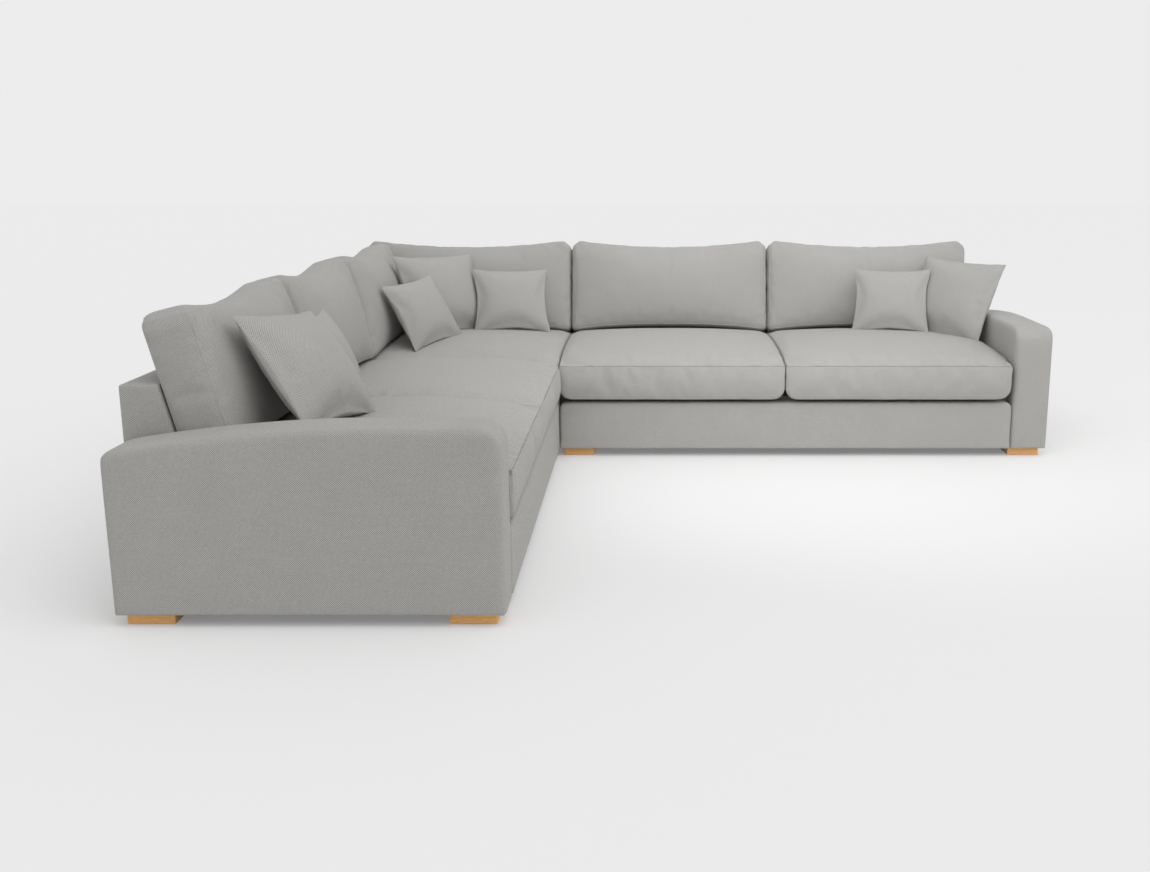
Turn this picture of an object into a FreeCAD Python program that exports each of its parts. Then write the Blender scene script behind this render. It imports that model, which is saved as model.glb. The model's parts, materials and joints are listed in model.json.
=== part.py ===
"""Corner sofa in three joined units, with loose seat, back and scatter cushions.

Millimetres, +Z up. The origin lies on the floor below the middle of the sofa's outline,
+X runs along the longer wing and -Y points out of the room corner, to the open side.
In the code x counts from the outer back of the left wing and y from the outer back of the
rear run, so y is negative everywhere on the sofa.
"""
import FreeCAD, Part
import Sketcher
import math
import os
import re

Vector = FreeCAD.Vector
Rotation = FreeCAD.Rotation
Placement = FreeCAD.Placement

doc = FreeCAD.newDocument("CornerSofa")
sheet = doc.addObject("Spreadsheet::Sheet", "Sizes")

SIZES = {
    # outline of the three units
    "overall_width": 3115,
    "overall_length": 2864,
    "unit_depth": 1055,
    "unit_gap": 2,
    # arms
    "arm_thick": 157,
    "arm_height": 548,
    "arm_back_height": 485,
    "arm_front_radius": 68,
    "arm_back_radius": 32,
    "arm_crown_radius": 2600,
    "arm_edge_radius": 20,
    # backs
    "back_height": 633,
    "back_top_thick": 105,
    "back_rake": 14,
    "back_edge_radius": 12,
    # upholstery over the timber
    "pad_thick": 20,
    "cloth_thick": 1,
    "panel_height": 234,
    "panel_wrap": 65,
    "panel_edge_radius": 16,
    "platform_height": 248,
    "platform_thick": 34,
    # timber
    "rail_thick": 25,
    "rail_top": 210,
    "arm_rail_height": 45,
    "back_rail_height": 75,
    "block_size": 75,
    "block_height": 60,
    # springs
    "spring_wire": 4,
    "spring_half_width": 24,
    "spring_pitch": 36,
    "spring_spacing": 300,
    "spring_clear": 1,
    # feet and hardware
    "cover_slit": 0.2,
    "foot_height": 34,
    "foot_size": 130,
    "foot_inset": 28,
    "foot_inner_inset": 16,
    "foot_chamfer": 2,
    "bolt_radius": 4,
    "bolt_depth": 22,
    "bolt_length": 55,
    "bolt_clear": 0.1,
    "strap_long": 140,
    "strap_wide": 40,
    "strap_thick": 3,
    "screw_radius": 3,
    "screw_head_radius": 6,
    "screw_head": 2.5,
    "screw_length": 25,
    # seat cushions
    "cushion_clear": 0.3,
    "cushion_gap": 3,
    "corner_seat_width": 1058,
    "corner_seat_depth": 1092,
    "left_seat_split": 1893,
    "right_seat_slack": 16,
    "seat_overhang": 30,
    "left_seat_overhang": 6,
    "seat_seam": 395,
    "seat_crown": 456,
    "seat_rear_seam": 405,
    "seat_side_drop": 32,
    "seat_corner_radius": 55,
    "seat_seam_inset": 5,
    "seat_front_bulge": 0.5,
    "cover_thick": 14,
    "filling_clear": 0.6,
    # back cushions
    "back_cushion_top": 824,
    "back_cushion_dip": 32,
    "back_cushion_edge": 150,
    "back_cushion_crown": 58,
    "back_cushion_corner": 34,
    "back_cushion_lift": 34,
    "back_cushion_rise": -18,
    "back_cushion_shoulder": 34,
    "back_cushion_heel": 46,
    "back_cushion_rear_drop": 52,
    # scatter cushions
    "large_scatter": 432,
    "small_scatter": 352,
    "scatter_squat": 0.9,
    "large_scatter_thick": 150,
    "small_scatter_thick": 112,
    "scatter_waist": 20,
    "scatter_hem": 12,
    "scatter_drop_in": 30,
}

for row, (alias, value) in enumerate(SIZES.items(), start=1):
    sheet.set(f"A{row}", alias)
    sheet.set(f"B{row}", str(value))
    sheet.setAlias(f"B{row}", alias)
doc.recompute()

ALIAS = re.compile(r"\b(" + "|".join(sorted(SIZES, key=len, reverse=True)) + r")\b")
RAKE = "tan(back_rake * 1 deg)"
ACROSS = " - overall_width / 2"
ALONG = " + overall_length / 2"


def size(alias):
    """A driving dimension, read from the sheet."""
    return float(sheet.get(alias))


def bind(item, prop, text):
    """Tie a property of an object to an expression over the sheet's names."""
    item.setExpression(prop, ALIAS.sub(r"Sizes.\1", str(text)))


def locate(item, x, y, z):
    """Tie an object's place, given from the outer backs, to the sheet."""
    bind(item, "Placement.Base.x", f"{x}{ACROSS}")
    bind(item, "Placement.Base.y", f"{y}{ALONG}")
    bind(item, "Placement.Base.z", z)


def here(x, y, z):
    """The point in the row's frame of a point counted from the outer backs."""
    return Vector(x - size("overall_width") / 2, y + size("overall_length") / 2, z)


def block(name, low, high):
    """A box between two corners, given as expressions."""
    item = doc.addObject("Part::Box", name)
    for prop, a, b in zip(("Length", "Width", "Height"), low, high):
        bind(item, prop, f"({b}) - ({a})")
    locate(item, *(f"({a})" for a in low))
    return item


def rod(name, radius, x, y, low, high):
    """An upright cylinder between two heights."""
    item = doc.addObject("Part::Cylinder", name)
    bind(item, "Radius", radius)
    bind(item, "Height", f"({high}) - ({low})")
    locate(item, f"({x})", f"({y})", low)
    return item


def fused(name, pieces):
    """Glued pieces as one solid."""
    item = doc.addObject("Part::MultiFuse", name)
    item.Shapes = pieces
    item.Refine = True
    return item


def cut(name, base, tool):
    """One object less another."""
    item = doc.addObject("Part::Cut", name)
    item.Base = base
    item.Tool = tool
    return item


def group(name, pieces):
    """Several separate solids kept together."""
    item = doc.addObject("Part::Compound", name)
    item.Links = pieces
    return item


NODES = []


def node(item, label):
    """Mark an object as a sub-part; the label names its file."""
    item.Label = label
    NODES.append(item)
    return item


# Limits of each unit's seat zone as expressions: low x, low y, high x, high y.
# The wings stop at the inner face of their arm and a small gap before the corner unit.
ZONES = {
    "left": ("0", "arm_thick - overall_length", "unit_depth", "-unit_depth - unit_gap"),
    "corner": ("0", "-unit_depth", "unit_depth", "0"),
    "right": ("unit_depth + unit_gap", "-unit_depth", "overall_width - arm_thick", "0"),
}
FRAME_LOW = "foot_height + cloth_thick"


def foot_places():
    """Centre of each foot as expressions, for each unit in turn."""
    half = "foot_size / 2"
    outer = f"(foot_inset + {half})"
    inner = f"(foot_inner_inset + {half})"
    places = {"left": [], "corner": [], "right": []}
    for x in (outer, f"unit_depth - foot_inset - {half}"):
        places["left"].append((x, f"{outer} - overall_length"))
        places["left"].append((x, f"-unit_depth - {inner}"))
    for x in (outer, f"unit_depth - {inner}"):
        for y in (f"-{outer}", f"{inner} - unit_depth"):
            places["corner"].append((x, y))
    for x in (f"unit_depth + {inner}", f"overall_width - foot_inset - {half}"):
        for y in (f"-{outer}", f"{outer} - unit_depth"):
            places["right"].append((x, y))
    return places


FEET = foot_places()


def strap_places():
    """Centre of each joining strap and the way it runs, across the two unit joints."""
    places = []
    for share in ("unit_depth * 0.3", "unit_depth * 0.7"):
        places.append((share, "-unit_depth - unit_gap / 2", "y"))
        places.append(("unit_depth + unit_gap / 2", f"-({share})", "x"))
    return places


def screw_places():
    """Centre of each strap screw, one in each end of a strap."""
    places = []
    for x, y, way in strap_places():
        for sign in ("-", "+"):
            shift = f"{sign} (rail_thick + unit_gap) / 2"
            if way == "x":
                places.append((f"{x} {shift}", y))
            else:
                places.append((x, f"{y} {shift}"))
    return places


def bores(name, places, radius, low, high):
    """Clearance holes for the bolts or screws at some places."""
    rods = [
        rod(f"{name}_{i}", f"{radius} + bolt_clear", x, y, low, high)
        for i, (x, y) in enumerate(places)
    ]
    return group(name, rods)


def build_base_frame(unit):
    """Timber rails, a middle rail and corner blocks of one unit, glued up."""
    x0, y0, x1, y1 = ZONES[unit]
    inset = "pad_thick"
    low = FRAME_LOW
    if unit == "left":
        x0, x1 = inset, f"({x1} - {inset})"
    elif unit == "right":
        y0, y1 = f"({y0} + {inset})", f"-{inset}"
    else:
        x0, y1 = inset, f"-{inset}"
    rails = [
        ((x0, y0), (f"{x0} + rail_thick", y1)),
        ((f"{x1} - rail_thick", y0), (x1, y1)),
        ((x0, y0), (x1, f"{y0} + rail_thick")),
        ((x0, f"{y1} - rail_thick"), (x1, y1)),
    ]
    middle_x, middle_y = f"({x0} + {x1}) / 2", f"({y0} + {y1}) / 2"
    if unit == "left":
        rails.append(((x0, middle_y), (x1, f"{middle_y} + rail_thick")))
    else:
        rails.append(((middle_x, y0), (f"{middle_x} + rail_thick", y1)))
    parts = [
        block(f"{unit}_rail_{i}", (*a, low), (*b, "rail_top"))
        for i, (a, b) in enumerate(rails)
    ]
    ends = {"left": FEET["left"][1::2], "corner": FEET["corner"], "right": FEET["right"][:2]}
    half = "block_size / 2"
    for i, (x, y) in enumerate(ends[unit]):
        corner = (f"{x} - {half}", f"{y} - {half}", low)
        far = (f"{x} + {half}", f"{y} + {half}", f"{low} + block_height")
        parts.append(block(f"{unit}_block_{i}", corner, far))
    timber = fused(f"{unit}_timber", parts)
    top = f"{low} + block_height + 1"
    bolt_holes = bores(f"{unit}_bolt_bores", ends[unit], "bolt_radius", low, top)
    screw_holes = bores(f"{unit}_screw_bores", screw_places(), "screw_radius", low, top)
    drilled = cut(f"{unit}_drilled", timber, bolt_holes)
    return node(cut(f"{unit}_base", drilled, screw_holes), f"{unit}_base_frame")


def back_wedge(name, unit_side, start, end, low, inset):
    """The raked body of a back, between two places along its run.

    unit_side is "left" for a back that faces +X and "rear" for one that faces -Y.
    inset draws every face but the two ends inwards.
    """
    top = f"back_height - {inset}"
    slant = f"{inset} / cos(back_rake * 1 deg)"
    item = doc.addObject("Part::Wedge", name)
    bind(item, "Xmin", inset)
    bind(item, "X2min", inset)
    bind(item, "Ymin", low)
    bind(item, "Ymax", top)
    bind(item, "Zmin", "0")
    bind(item, "Z2min", "0")
    bind(item, "Zmax", f"({end}) - ({start})")
    bind(item, "Z2max", f"({end}) - ({start})")
    bind(item, "Xmax", f"back_top_thick + (back_height - ({low})) * {RAKE} - {slant}")
    bind(item, "X2max", f"back_top_thick + {inset} * {RAKE} - {slant}")
    if unit_side == "left":
        item.Placement = Placement(Vector(), Rotation(Vector(1, 0, 0), 90))
        locate(item, "0", f"({end})", "0")
    else:
        turned = Rotation(Vector(0, 0, 1), -90).multiply(Rotation(Vector(1, 0, 0), 90))
        item.Placement = Placement(Vector(), turned)
        locate(item, f"({end})", "0", "0")
    return item


def back_runs(unit):
    """The runs of back on a unit: side, start and end along the run."""
    x0, y0, x1, y1 = ZONES[unit]
    runs = []
    if unit != "right":
        runs.append(("left", y0, y1))
    if unit != "left":
        runs.append(("rear", x0, x1))
    return runs


def run_block(name, side, depths, ends, heights):
    """A box on a back, given by its depths, its ends along the run and its heights."""
    if side == "left":
        low, high = (depths[0], ends[0]), (depths[1], ends[1])
    else:
        low, high = (ends[0], f"-({depths[1]})"), (ends[1], f"-({depths[0]})")
    return block(name, (*low, heights[0]), (*high, heights[1]))


# Share of the run at which a back's middle upright stands, between two springs.
MIDDLE_LEG = {"left": "0.4", "corner": "0.4", "right": "0.5"}


def build_back_frame(unit):
    """Uprights cut to the rake, with a top and a bottom rail."""
    parts = []
    low = "platform_height + cloth_thick"
    for side, start, end in back_runs(unit):
        corner = unit == "corner"
        tag = f"{unit}_{side}"
        start_in = "pad_thick" if corner and side == "rear" else start
        end_in = "-pad_thick" if corner and side == "left" else end
        for i, share in enumerate(("0.0", MIDDLE_LEG[unit], "1.0")):
            place = f"({start_in}) + (({end_in}) - ({start_in}) - rail_thick) * {share}"
            ends = (place, f"{place} + rail_thick")
            parts.append(back_wedge(f"{tag}_upright_{i}", side, *ends, low, "pad_thick"))
            leg = ("pad_thick", "pad_thick + rail_thick")
            parts.append(run_block(f"{tag}_leg_{i}", side, leg, ends, ("rail_top", low)))
        rail = ("pad_thick", "pad_thick + rail_thick")
        ends = (start_in, end_in)
        high = "back_height - pad_thick"
        parts.append(run_block(f"{tag}_top", side, rail, ends, (f"{high} - back_rail_height", high)))
        parts.append(run_block(f"{tag}_low", side, rail, ends, (low, f"{low} + back_rail_height")))
    return node(fused(f"{unit}_back_timber", parts), f"{unit}_back_frame")


def top_edges(shape, height, margin=0.01):
    """Numbers of the edges that lie at a height and aren't across a run's end."""
    found = []
    for i, edge in enumerate(shape.Edges, start=1):
        box = edge.BoundBox
        if abs(box.ZMin - height) < margin and abs(box.ZMax - height) < margin:
            found.append(i)
    return found


def mitre_block(turn):
    """A block over all on one side of the corner's mitre, and half a slit past it."""
    big = size("overall_width")
    item = doc.addObject("Part::Box", f"mitre_block_{turn}")
    item.Length, item.Width, item.Height = 2 * big, big, big
    turned = Rotation(Vector(0, 0, 1), -45 + 180 * turn)
    ahead = Placement(Vector(-big, -size("cover_slit") / 2, 0), Rotation())
    item.Placement = Placement(here(0, 0, 0), turned).multiply(ahead)
    return item


def build_back_cover(unit):
    """Foam and fabric over a back, with the outside back down to the floor gap."""
    outer, inner = [], []
    low = "platform_height + cloth_thick"
    for side, start, end in back_runs(unit):
        tag = f"{unit}_{side}_cover"
        outer.append(back_wedge(f"{tag}_body", side, start, end, low, "0"))
        if unit == "corner" and side == "left":
            ends = (start, "-pad_thick")
        elif unit == "corner":
            ends = ("pad_thick", end)
        else:
            ends = (start, end)
        inner.append(back_wedge(f"{tag}_room", side, *ends, low, "pad_thick"))
        depths, heights = ("0", "pad_thick"), ("foot_height", low)
        outer.append(run_block(f"{tag}_skirt", side, depths, (start, end), heights))
    body = fused(f"{unit}_cover_body", outer)
    doc.recompute()
    rounded = doc.addObject("Part::Fillet", f"{unit}_cover_edges")
    rounded.Base = body
    radius = size("back_edge_radius")
    ends = top_edges(body.Shape, size("back_height"))
    rounded.Edges = [(i, radius, radius) for i in ends]
    if len(inner) == 1:
        return node(cut(f"{unit}_cover", rounded, inner[0]), f"{unit}_back_cover")
    shell = cut(f"{unit}_cover", rounded, fused(f"{unit}_cover_room", inner))
    halves = [cut(f"{unit}_cover_half_{i}", shell, mitre_block(i)) for i in (0, 1)]
    return node(group(f"{unit}_cover_halves", halves), f"{unit}_back_cover")


def plane_of(body, role):
    """One of a body's own origin planes."""
    return next(f for f in body.Origin.OriginFeatures if f.Role == role)


def arm_outline(inset):
    """Corners of an arm's side as (depth, height) expressions, and the radius of each bend.

    A radius of None means a straight run to the next corner.
    """
    front = "arm_front_radius"
    back = "arm_back_radius"
    deep = f"unit_depth - {inset}"
    flat = f"unit_depth - {front}"
    return [
        (inset, "foot_height", None),
        (inset, f"arm_back_height - {back}", f"{back} - {inset}"),
        (back, f"arm_back_height - {inset}", "arm_crown_radius"),
        ("unit_depth * 0.66", f"arm_height - {inset}", None),
        (flat, f"arm_height - {inset}", f"{front} - {inset}"),
        (deep, f"arm_height - {front}", None),
        (deep, "foot_height", None),
    ]


def value(text):
    """The number that an expression over the sheet's names comes to."""
    known = {alias: size(alias) for alias in SIZES}
    total = 0.0
    for part in re.findall(r"[+-]?[^+-]+", text.replace(" ", "")):
        sign = -1.0 if part[0] == "-" else 1.0
        product = sign
        for factor in part.lstrip("+-").split("*"):
            product *= known[factor] if factor in known else float(factor)
        total += product
    return total


def arc_between(a, b, radius):
    """A clockwise arc of a radius from one point to another, as a sketch's arc."""
    middle = (a + b) * 0.5
    chord = b - a
    half = chord.Length / 2
    side = Vector(chord.y, -chord.x, 0).normalize()
    centre = middle + side * math.sqrt(max(radius**2 - half**2, 0.0))
    start = math.atan2(b.y - centre.y, b.x - centre.x)
    end = math.atan2(a.y - centre.y, a.x - centre.x)
    circle = Part.Circle(centre, Vector(0, 0, 1), radius)
    return Part.ArcOfCircle(circle, start, end)


def draw(sketch, outline):
    """Fill a sketch with a closed outline whose corners and radii follow the sheet."""
    points = [Vector(value(x), value(z), 0) for x, z, radius in outline]
    count = len(points)
    for i, (x, z, radius) in enumerate(outline):
        a, b = points[i], points[(i + 1) % count]
        if radius is None:
            sketch.addGeometry(Part.LineSegment(a, b), False)
        else:
            sketch.addGeometry(arc_between(a, b, value(radius)), False)
    ends = [(1, 2) if radius is None else (2, 1) for x, z, radius in outline]
    for i in range(count):
        after = (i + 1) % count
        join = Sketcher.Constraint("Coincident", i, ends[i][1], after, ends[after][0])
        sketch.addConstraint(join)
    for i, (x, z, radius) in enumerate(outline):
        for kind, text in (("DistanceX", x), ("DistanceY", z)):
            rule = Sketcher.Constraint(kind, -1, 1, i, ends[i][0], value(text))
            sketch.renameConstraint(sketch.addConstraint(rule), f"{kind}{i}")
            bind(sketch, f"Constraints.{kind}{i}", text)
        if radius is not None:
            rule = Sketcher.Constraint("Radius", i, value(radius))
            sketch.renameConstraint(sketch.addConstraint(rule), f"Radius{i}")
            bind(sketch, f"Constraints.Radius{i}", radius)


def arm_sketch(body, name, inset, offset):
    """A sketch of the arm's side on the body's XZ plane, moved inwards by an offset."""
    sketch = body.newObject("Sketcher::SketchObject", name)
    sketch.AttachmentSupport = [(plane_of(body, "XZ_Plane"), "")]
    sketch.MapMode = "FlatFace"
    bind(sketch, "AttachmentOffset.Base.z", offset)
    draw(sketch, arm_outline(inset))
    return sketch


def set_arm(item, side):
    """Put an arm drawn from its outer corner at its end of the sofa."""
    if side == "left":
        locate(item, "0", "arm_thick - overall_length", "0")
    else:
        item.Placement = Placement(Vector(), Rotation(Vector(0, 0, 1), -90))
        locate(item, "overall_width", "0", "0")


def build_arm_cover(side):
    """Foam and fabric over an arm, hollow for its frame and open underneath."""
    body = doc.addObject("PartDesign::Body", f"{side}_arm")
    outline = arm_sketch(body, f"{side}_arm_outline", "0", "0")
    pad = body.newObject("PartDesign::Pad", f"{side}_arm_pad")
    pad.Profile = outline
    bind(pad, "Length", "arm_thick")
    outline.Visibility = False
    doc.recompute()
    solid = pad.Shape.BoundBox
    names = []
    for i, edge in enumerate(pad.Shape.Edges, start=1):
        box = edge.BoundBox
        on_side = box.YLength < 0.01
        on_floor = box.ZLength < 0.01 and abs(box.ZMin - solid.ZMin) < 0.01
        if on_side and not on_floor:
            names.append(f"Edge{i}")
    fillet = body.newObject("PartDesign::Fillet", f"{side}_arm_edges")
    fillet.Base = (pad, names)
    bind(fillet, "Radius", "arm_edge_radius")
    doc.recompute()
    whole = fillet.Shape.Volume
    room = arm_sketch(body, f"{side}_arm_room", "pad_thick", "pad_thick")
    pocket = body.newObject("PartDesign::Pocket", f"{side}_arm_pocket")
    pocket.Profile = room
    pocket.Reversed = True
    bind(pocket, "Length", "arm_thick - 2 * pad_thick")
    doc.recompute()
    if pocket.Shape.Volume > 0.8 * whole:
        raise RuntimeError(f"the {side} arm's pocket cut nothing")
    set_arm(body, side)
    return node(body, f"{side}_arm_cover")


def build_arm_frame(side):
    """Timber rails and posts inside an arm, drilled for the studs of its feet."""
    name = f"{side}_arm"
    inset = "pad_thick"
    wide = ("pad_thick", "arm_thick - pad_thick")
    low = FRAME_LOW
    rail_top = f"{low} + arm_rail_height"
    post_top = "arm_back_height - arm_back_radius - rail_thick"
    deep = "unit_depth - pad_thick"
    pieces = [
        ((inset, deep), (low, rail_top)),
        ((f"{inset} * 2", f"{deep} - {inset}"), (post_top, f"{post_top} + rail_thick")),
    ]
    for start in (inset, "unit_depth / 2", f"{deep} - arm_rail_height"):
        pieces.append(((start, f"{start} + arm_rail_height"), (rail_top, post_top)))
    parts = []
    for i, ((d0, d1), heights) in enumerate(pieces):
        if side == "left":
            low_corner = (d0, f"{wide[0]} - overall_length", heights[0])
            high_corner = (d1, f"{wide[1]} - overall_length", heights[1])
        else:
            low_corner = (f"overall_width - ({wide[1]})", f"-({d1})", heights[0])
            high_corner = (f"overall_width - {wide[0]}", f"-({d0})", heights[1])
        parts.append(block(f"{name}_timber_{i}", low_corner, high_corner))
    places = FEET["left"][0::2] if side == "left" else FEET["right"][2:]
    holes = bores(f"{name}_bores", places, "bolt_radius", low, f"{rail_top} + 1")
    return node(cut(f"{name}_drilled", fused(f"{name}_glued", parts), holes), f"{name}_frame")


def build_front_panel(unit):
    """Padded front panel below the seats: foam and fabric wrapped over the front rail."""
    x0, y0, x1, y1 = ZONES[unit]
    name = f"{unit}_panel"
    room_top = "rail_top + spring_wire + spring_clear"
    if unit == "left":
        low, high = (f"{x1} - panel_wrap", y0), (x1, y1)
        room_low, room_high = low, (f"{x1} - pad_thick", y1)
    else:
        low, high = (x0, y0), (x1, f"{y0} + panel_wrap")
        room_low, room_high = (x0, f"{y0} + pad_thick"), high
    face = block(f"{name}_face", (*low, "foot_height"), (*high, "panel_height"))
    room = block(f"{name}_room", (*room_low, "foot_height"), (*room_high, room_top))
    rounded = doc.addObject("Part::Fillet", f"{name}_edges")
    rounded.Base = face
    doc.recompute()
    radius = size("panel_edge_radius")
    rounded.Edges = [(i, radius, radius) for i in front_edges(face.Shape, unit)]
    return node(cut(f"{name}_shell", rounded, room), f"{unit}_front_panel")


def front_edges(shape, unit):
    """Numbers of a front panel's outer edges: its top edge and the right one's free end."""
    box = shape.BoundBox
    found = []
    for i, edge in enumerate(shape.Edges, start=1):
        middle = edge.BoundBox.Center
        top = abs(middle.z - box.ZMax) < 0.1
        if unit == "left":
            chosen = top and abs(middle.x - box.XMax) < 0.1
        else:
            end = abs(middle.x - box.XMin) < 0.1
            chosen = (top or end) and abs(middle.y - box.YMin) < 0.1
        if chosen:
            found.append(i)
    return found


def build_platform(unit):
    """Sprung platform under the seat cushions: felt and cloth over the springs."""
    x0, y0, x1, y1 = ZONES[unit]
    rear = "(pad_thick + rail_thick)"
    if unit == "left":
        low, high = (rear, y0), (f"{x1} - panel_wrap", y1)
    elif unit == "right":
        low, high = (x0, f"{y0} + panel_wrap"), (x1, f"-{rear}")
    else:
        low, high = (rear, y0), (x1, f"-{rear}")
    bottom = "platform_height - platform_thick"
    item = block(f"{unit}_felt", (*low, bottom), (*high, "platform_height"))
    return node(item, f"{unit}_platform")


def spring_path(length, half, pitch):
    """A flat zigzag along X: straight bars joined by pairs of quarter bends."""
    bends = int((length - pitch) // (2 * pitch)) * 2
    lead = (length - bends * pitch) / 2
    reach = half - pitch / 2
    radius = pitch / 2
    edges = [Part.LineSegment(Vector(0, 0, 0), Vector(lead - radius, 0, 0)).toShape()]
    # the lead turns a quarter to run across
    turn = radius * math.sqrt(0.5)
    x, y, sign = lead - radius, 0.0, 1
    first = Part.Arc(
        Vector(x, 0, 0),
        Vector(x + turn, sign * (radius - turn), 0),
        Vector(x + radius, sign * radius, 0),
    )
    edges.append(first.toShape())
    x, y = x + radius, sign * radius
    for i in range(bends):
        tip = sign * reach
        edges.append(Part.LineSegment(Vector(x, y, 0), Vector(x, tip, 0)).toShape())
        top = tip + sign * radius
        middle = x + radius
        rise = sign * turn
        crest = Vector(middle, top, 0)
        rising = Part.Arc(Vector(x, tip, 0), Vector(middle - turn, tip + rise, 0), crest)
        falling = Part.Arc(crest, Vector(middle + turn, tip + rise, 0), Vector(x + pitch, tip, 0))
        edges += [rising.toShape(), falling.toShape()]
        x, y, sign = x + pitch, tip, -sign
    edges.append(Part.LineSegment(Vector(x, y, 0), Vector(x, -sign * radius, 0)).toShape())
    y = -sign * radius
    last = Part.Arc(
        Vector(x, y, 0),
        Vector(x + radius - turn, -sign * (radius - turn), 0),
        Vector(x + radius, 0, 0),
    )
    edges.append(last.toShape())
    edges.append(Part.LineSegment(Vector(x + radius, 0, 0), Vector(length, 0, 0)).toShape())
    return Part.Wire(edges)


def build_springs():
    """Zigzag springs from the rear rail to the front rail of every unit."""
    radius = size("spring_wire") / 2
    height = size("rail_top") + radius
    rail, pad = size("rail_thick"), size("pad_thick")
    ring = Part.Wire(Part.Circle(Vector(), Vector(1, 0, 0), radius).toShape())
    depth, gap, arm = size("unit_depth"), size("unit_gap"), size("arm_thick")
    spans = {
        "left": (depth + gap, size("overall_length") - arm),
        "corner": (pad, depth),
        "right": (depth + gap, size("overall_width") - arm),
    }
    shapes = []
    for unit, (start, end) in spans.items():
        room = end - start - 2 * rail
        count = max(2, round(room / size("spring_spacing")))
        length = depth - pad - rail if unit == "corner" else depth - 2 * pad - rail
        path = spring_path(length, size("spring_half_width"), size("spring_pitch"))
        wire = path.makePipeShell([ring], True, False)
        for i in range(count):
            along = start + rail + room * (i + 0.5) / count
            if unit == "right":
                at, turned = here(along, -pad - rail / 2, height), Rotation(Vector(0, 0, 1), -90)
            else:
                at, turned = here(pad + rail / 2, -along, height), Rotation()
            copy = wire.copy()
            copy.Placement = Placement(at, turned)
            shapes.append(copy)
    item = doc.addObject("Part::Feature", "springs")
    item.Shape = Part.makeCompound(shapes)
    return node(item, "seat_springs")


def build_dust_covers():
    """Thin cloth under the seat of each unit and under each arm, inside the padding."""
    pad = "pad_thick"
    joint = "unit_depth + unit_gap"
    front = f"unit_depth - {pad}"
    wide = "arm_thick - pad_thick"
    areas = {
        "left": ((pad, "arm_thick - overall_length"), (front, f"-({joint})")),
        "corner": ((pad, "-unit_depth"), ("unit_depth", f"-{pad}")),
        "right": ((joint, f"-({front})"), ("overall_width - arm_thick", f"-{pad}")),
        "left_arm": ((pad, f"{pad} - overall_length"), (front, f"{wide} - overall_length")),
        "right_arm": ((f"overall_width - ({wide})", f"-({front})"), (f"overall_width - {pad}", f"-{pad}")),
    }
    sheets = []
    for unit, (low, high) in areas.items():
        sheets.append(block(f"{unit}_cloth", (*low, "foot_height"), (*high, FRAME_LOW)))
    cloth = group("cloth_sheets", sheets)
    places = [p for unit in FEET for p in FEET[unit]]
    below, above = "foot_height - 1", f"{FRAME_LOW} + 1"
    bolts = bores("cloth_bolt_bores", places, "bolt_radius", below, above)
    screws = bores("cloth_screw_bores", screw_places(), "screw_radius", below, above)
    return node(cut("cloth_drilled", cut("cloth_bolted", cloth, bolts), screws), "dust_covers")


def build_feet():
    """Low square oak feet with a small chamfer and a blind bore for their bolt."""
    feet = []
    half = "foot_size / 2"
    for unit, places in FEET.items():
        for i, (x, y) in enumerate(places):
            low = (f"{x} - {half}", f"{y} - {half}", "0")
            high = (f"{x} + {half}", f"{y} + {half}", "foot_height")
            body = block(f"{unit}_foot_{i}", low, high)
            doc.recompute()
            eased = doc.addObject("Part::Chamfer", f"{unit}_foot_eased_{i}")
            eased.Base = body
            chamfer = size("foot_chamfer")
            eased.Edges = [(n, chamfer, chamfer) for n in range(1, 13)]
            bottom = "foot_height - bolt_depth"
            top = "foot_height + 1"
            bore = rod(f"{unit}_foot_bore_{i}", "bolt_radius + bolt_clear", x, y, bottom, top)
            feet.append(cut(f"{unit}_foot_drilled_{i}", eased, bore))
    return node(group("feet_group", feet), "feet")


def build_bolts():
    """Steel studs that hold the feet."""
    places = [p for unit in FEET for p in FEET[unit]]
    low = "foot_height - bolt_depth"
    high = f"{low} + bolt_length"
    bolts = [rod(f"bolt_{i}", "bolt_radius", x, y, low, high) for i, (x, y) in enumerate(places)]
    return node(group("bolt_group", bolts), "foot_bolts")


def build_straps():
    """Steel straps under the frames that hold the units together."""
    straps = []
    low = "foot_height - strap_thick"
    for i, (x, y, way) in enumerate(strap_places()):
        long, wide = "strap_long / 2", "strap_wide / 2"
        dx, dy = (long, wide) if way == "x" else (wide, long)
        corner = (f"{x} - {dx}", f"{y} - {dy}", low)
        straps.append(block(f"strap_{i}", corner, (f"{x} + {dx}", f"{y} + {dy}", "foot_height")))
    bars = group("strap_bars", straps)
    holes = bores("strap_bores", screw_places(), "screw_radius", f"{low} - 1", "foot_height + 1")
    return node(cut("strap_drilled", bars, holes), "unit_connectors")


def build_screws():
    """Pan-head screws that fix the straps to the end rails."""
    screws = []
    head_top = "foot_height - strap_thick"
    for i, (x, y) in enumerate(screw_places()):
        shank = rod(f"shank_{i}", "screw_radius", x, y, head_top, f"{head_top} + screw_length")
        head = rod(f"head_{i}", "screw_head_radius", x, y, f"{head_top} - screw_head", head_top)
        screws.append(fused(f"screw_{i}", [shank, head]))
    return node(group("screw_group", screws), "connector_screws")


def rake_run(height):
    """How far the raked face of a back stands out at a height."""
    rake = math.radians(size("back_rake"))
    return size("back_top_thick") + (size("back_height") - height) * math.tan(rake)


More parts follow.
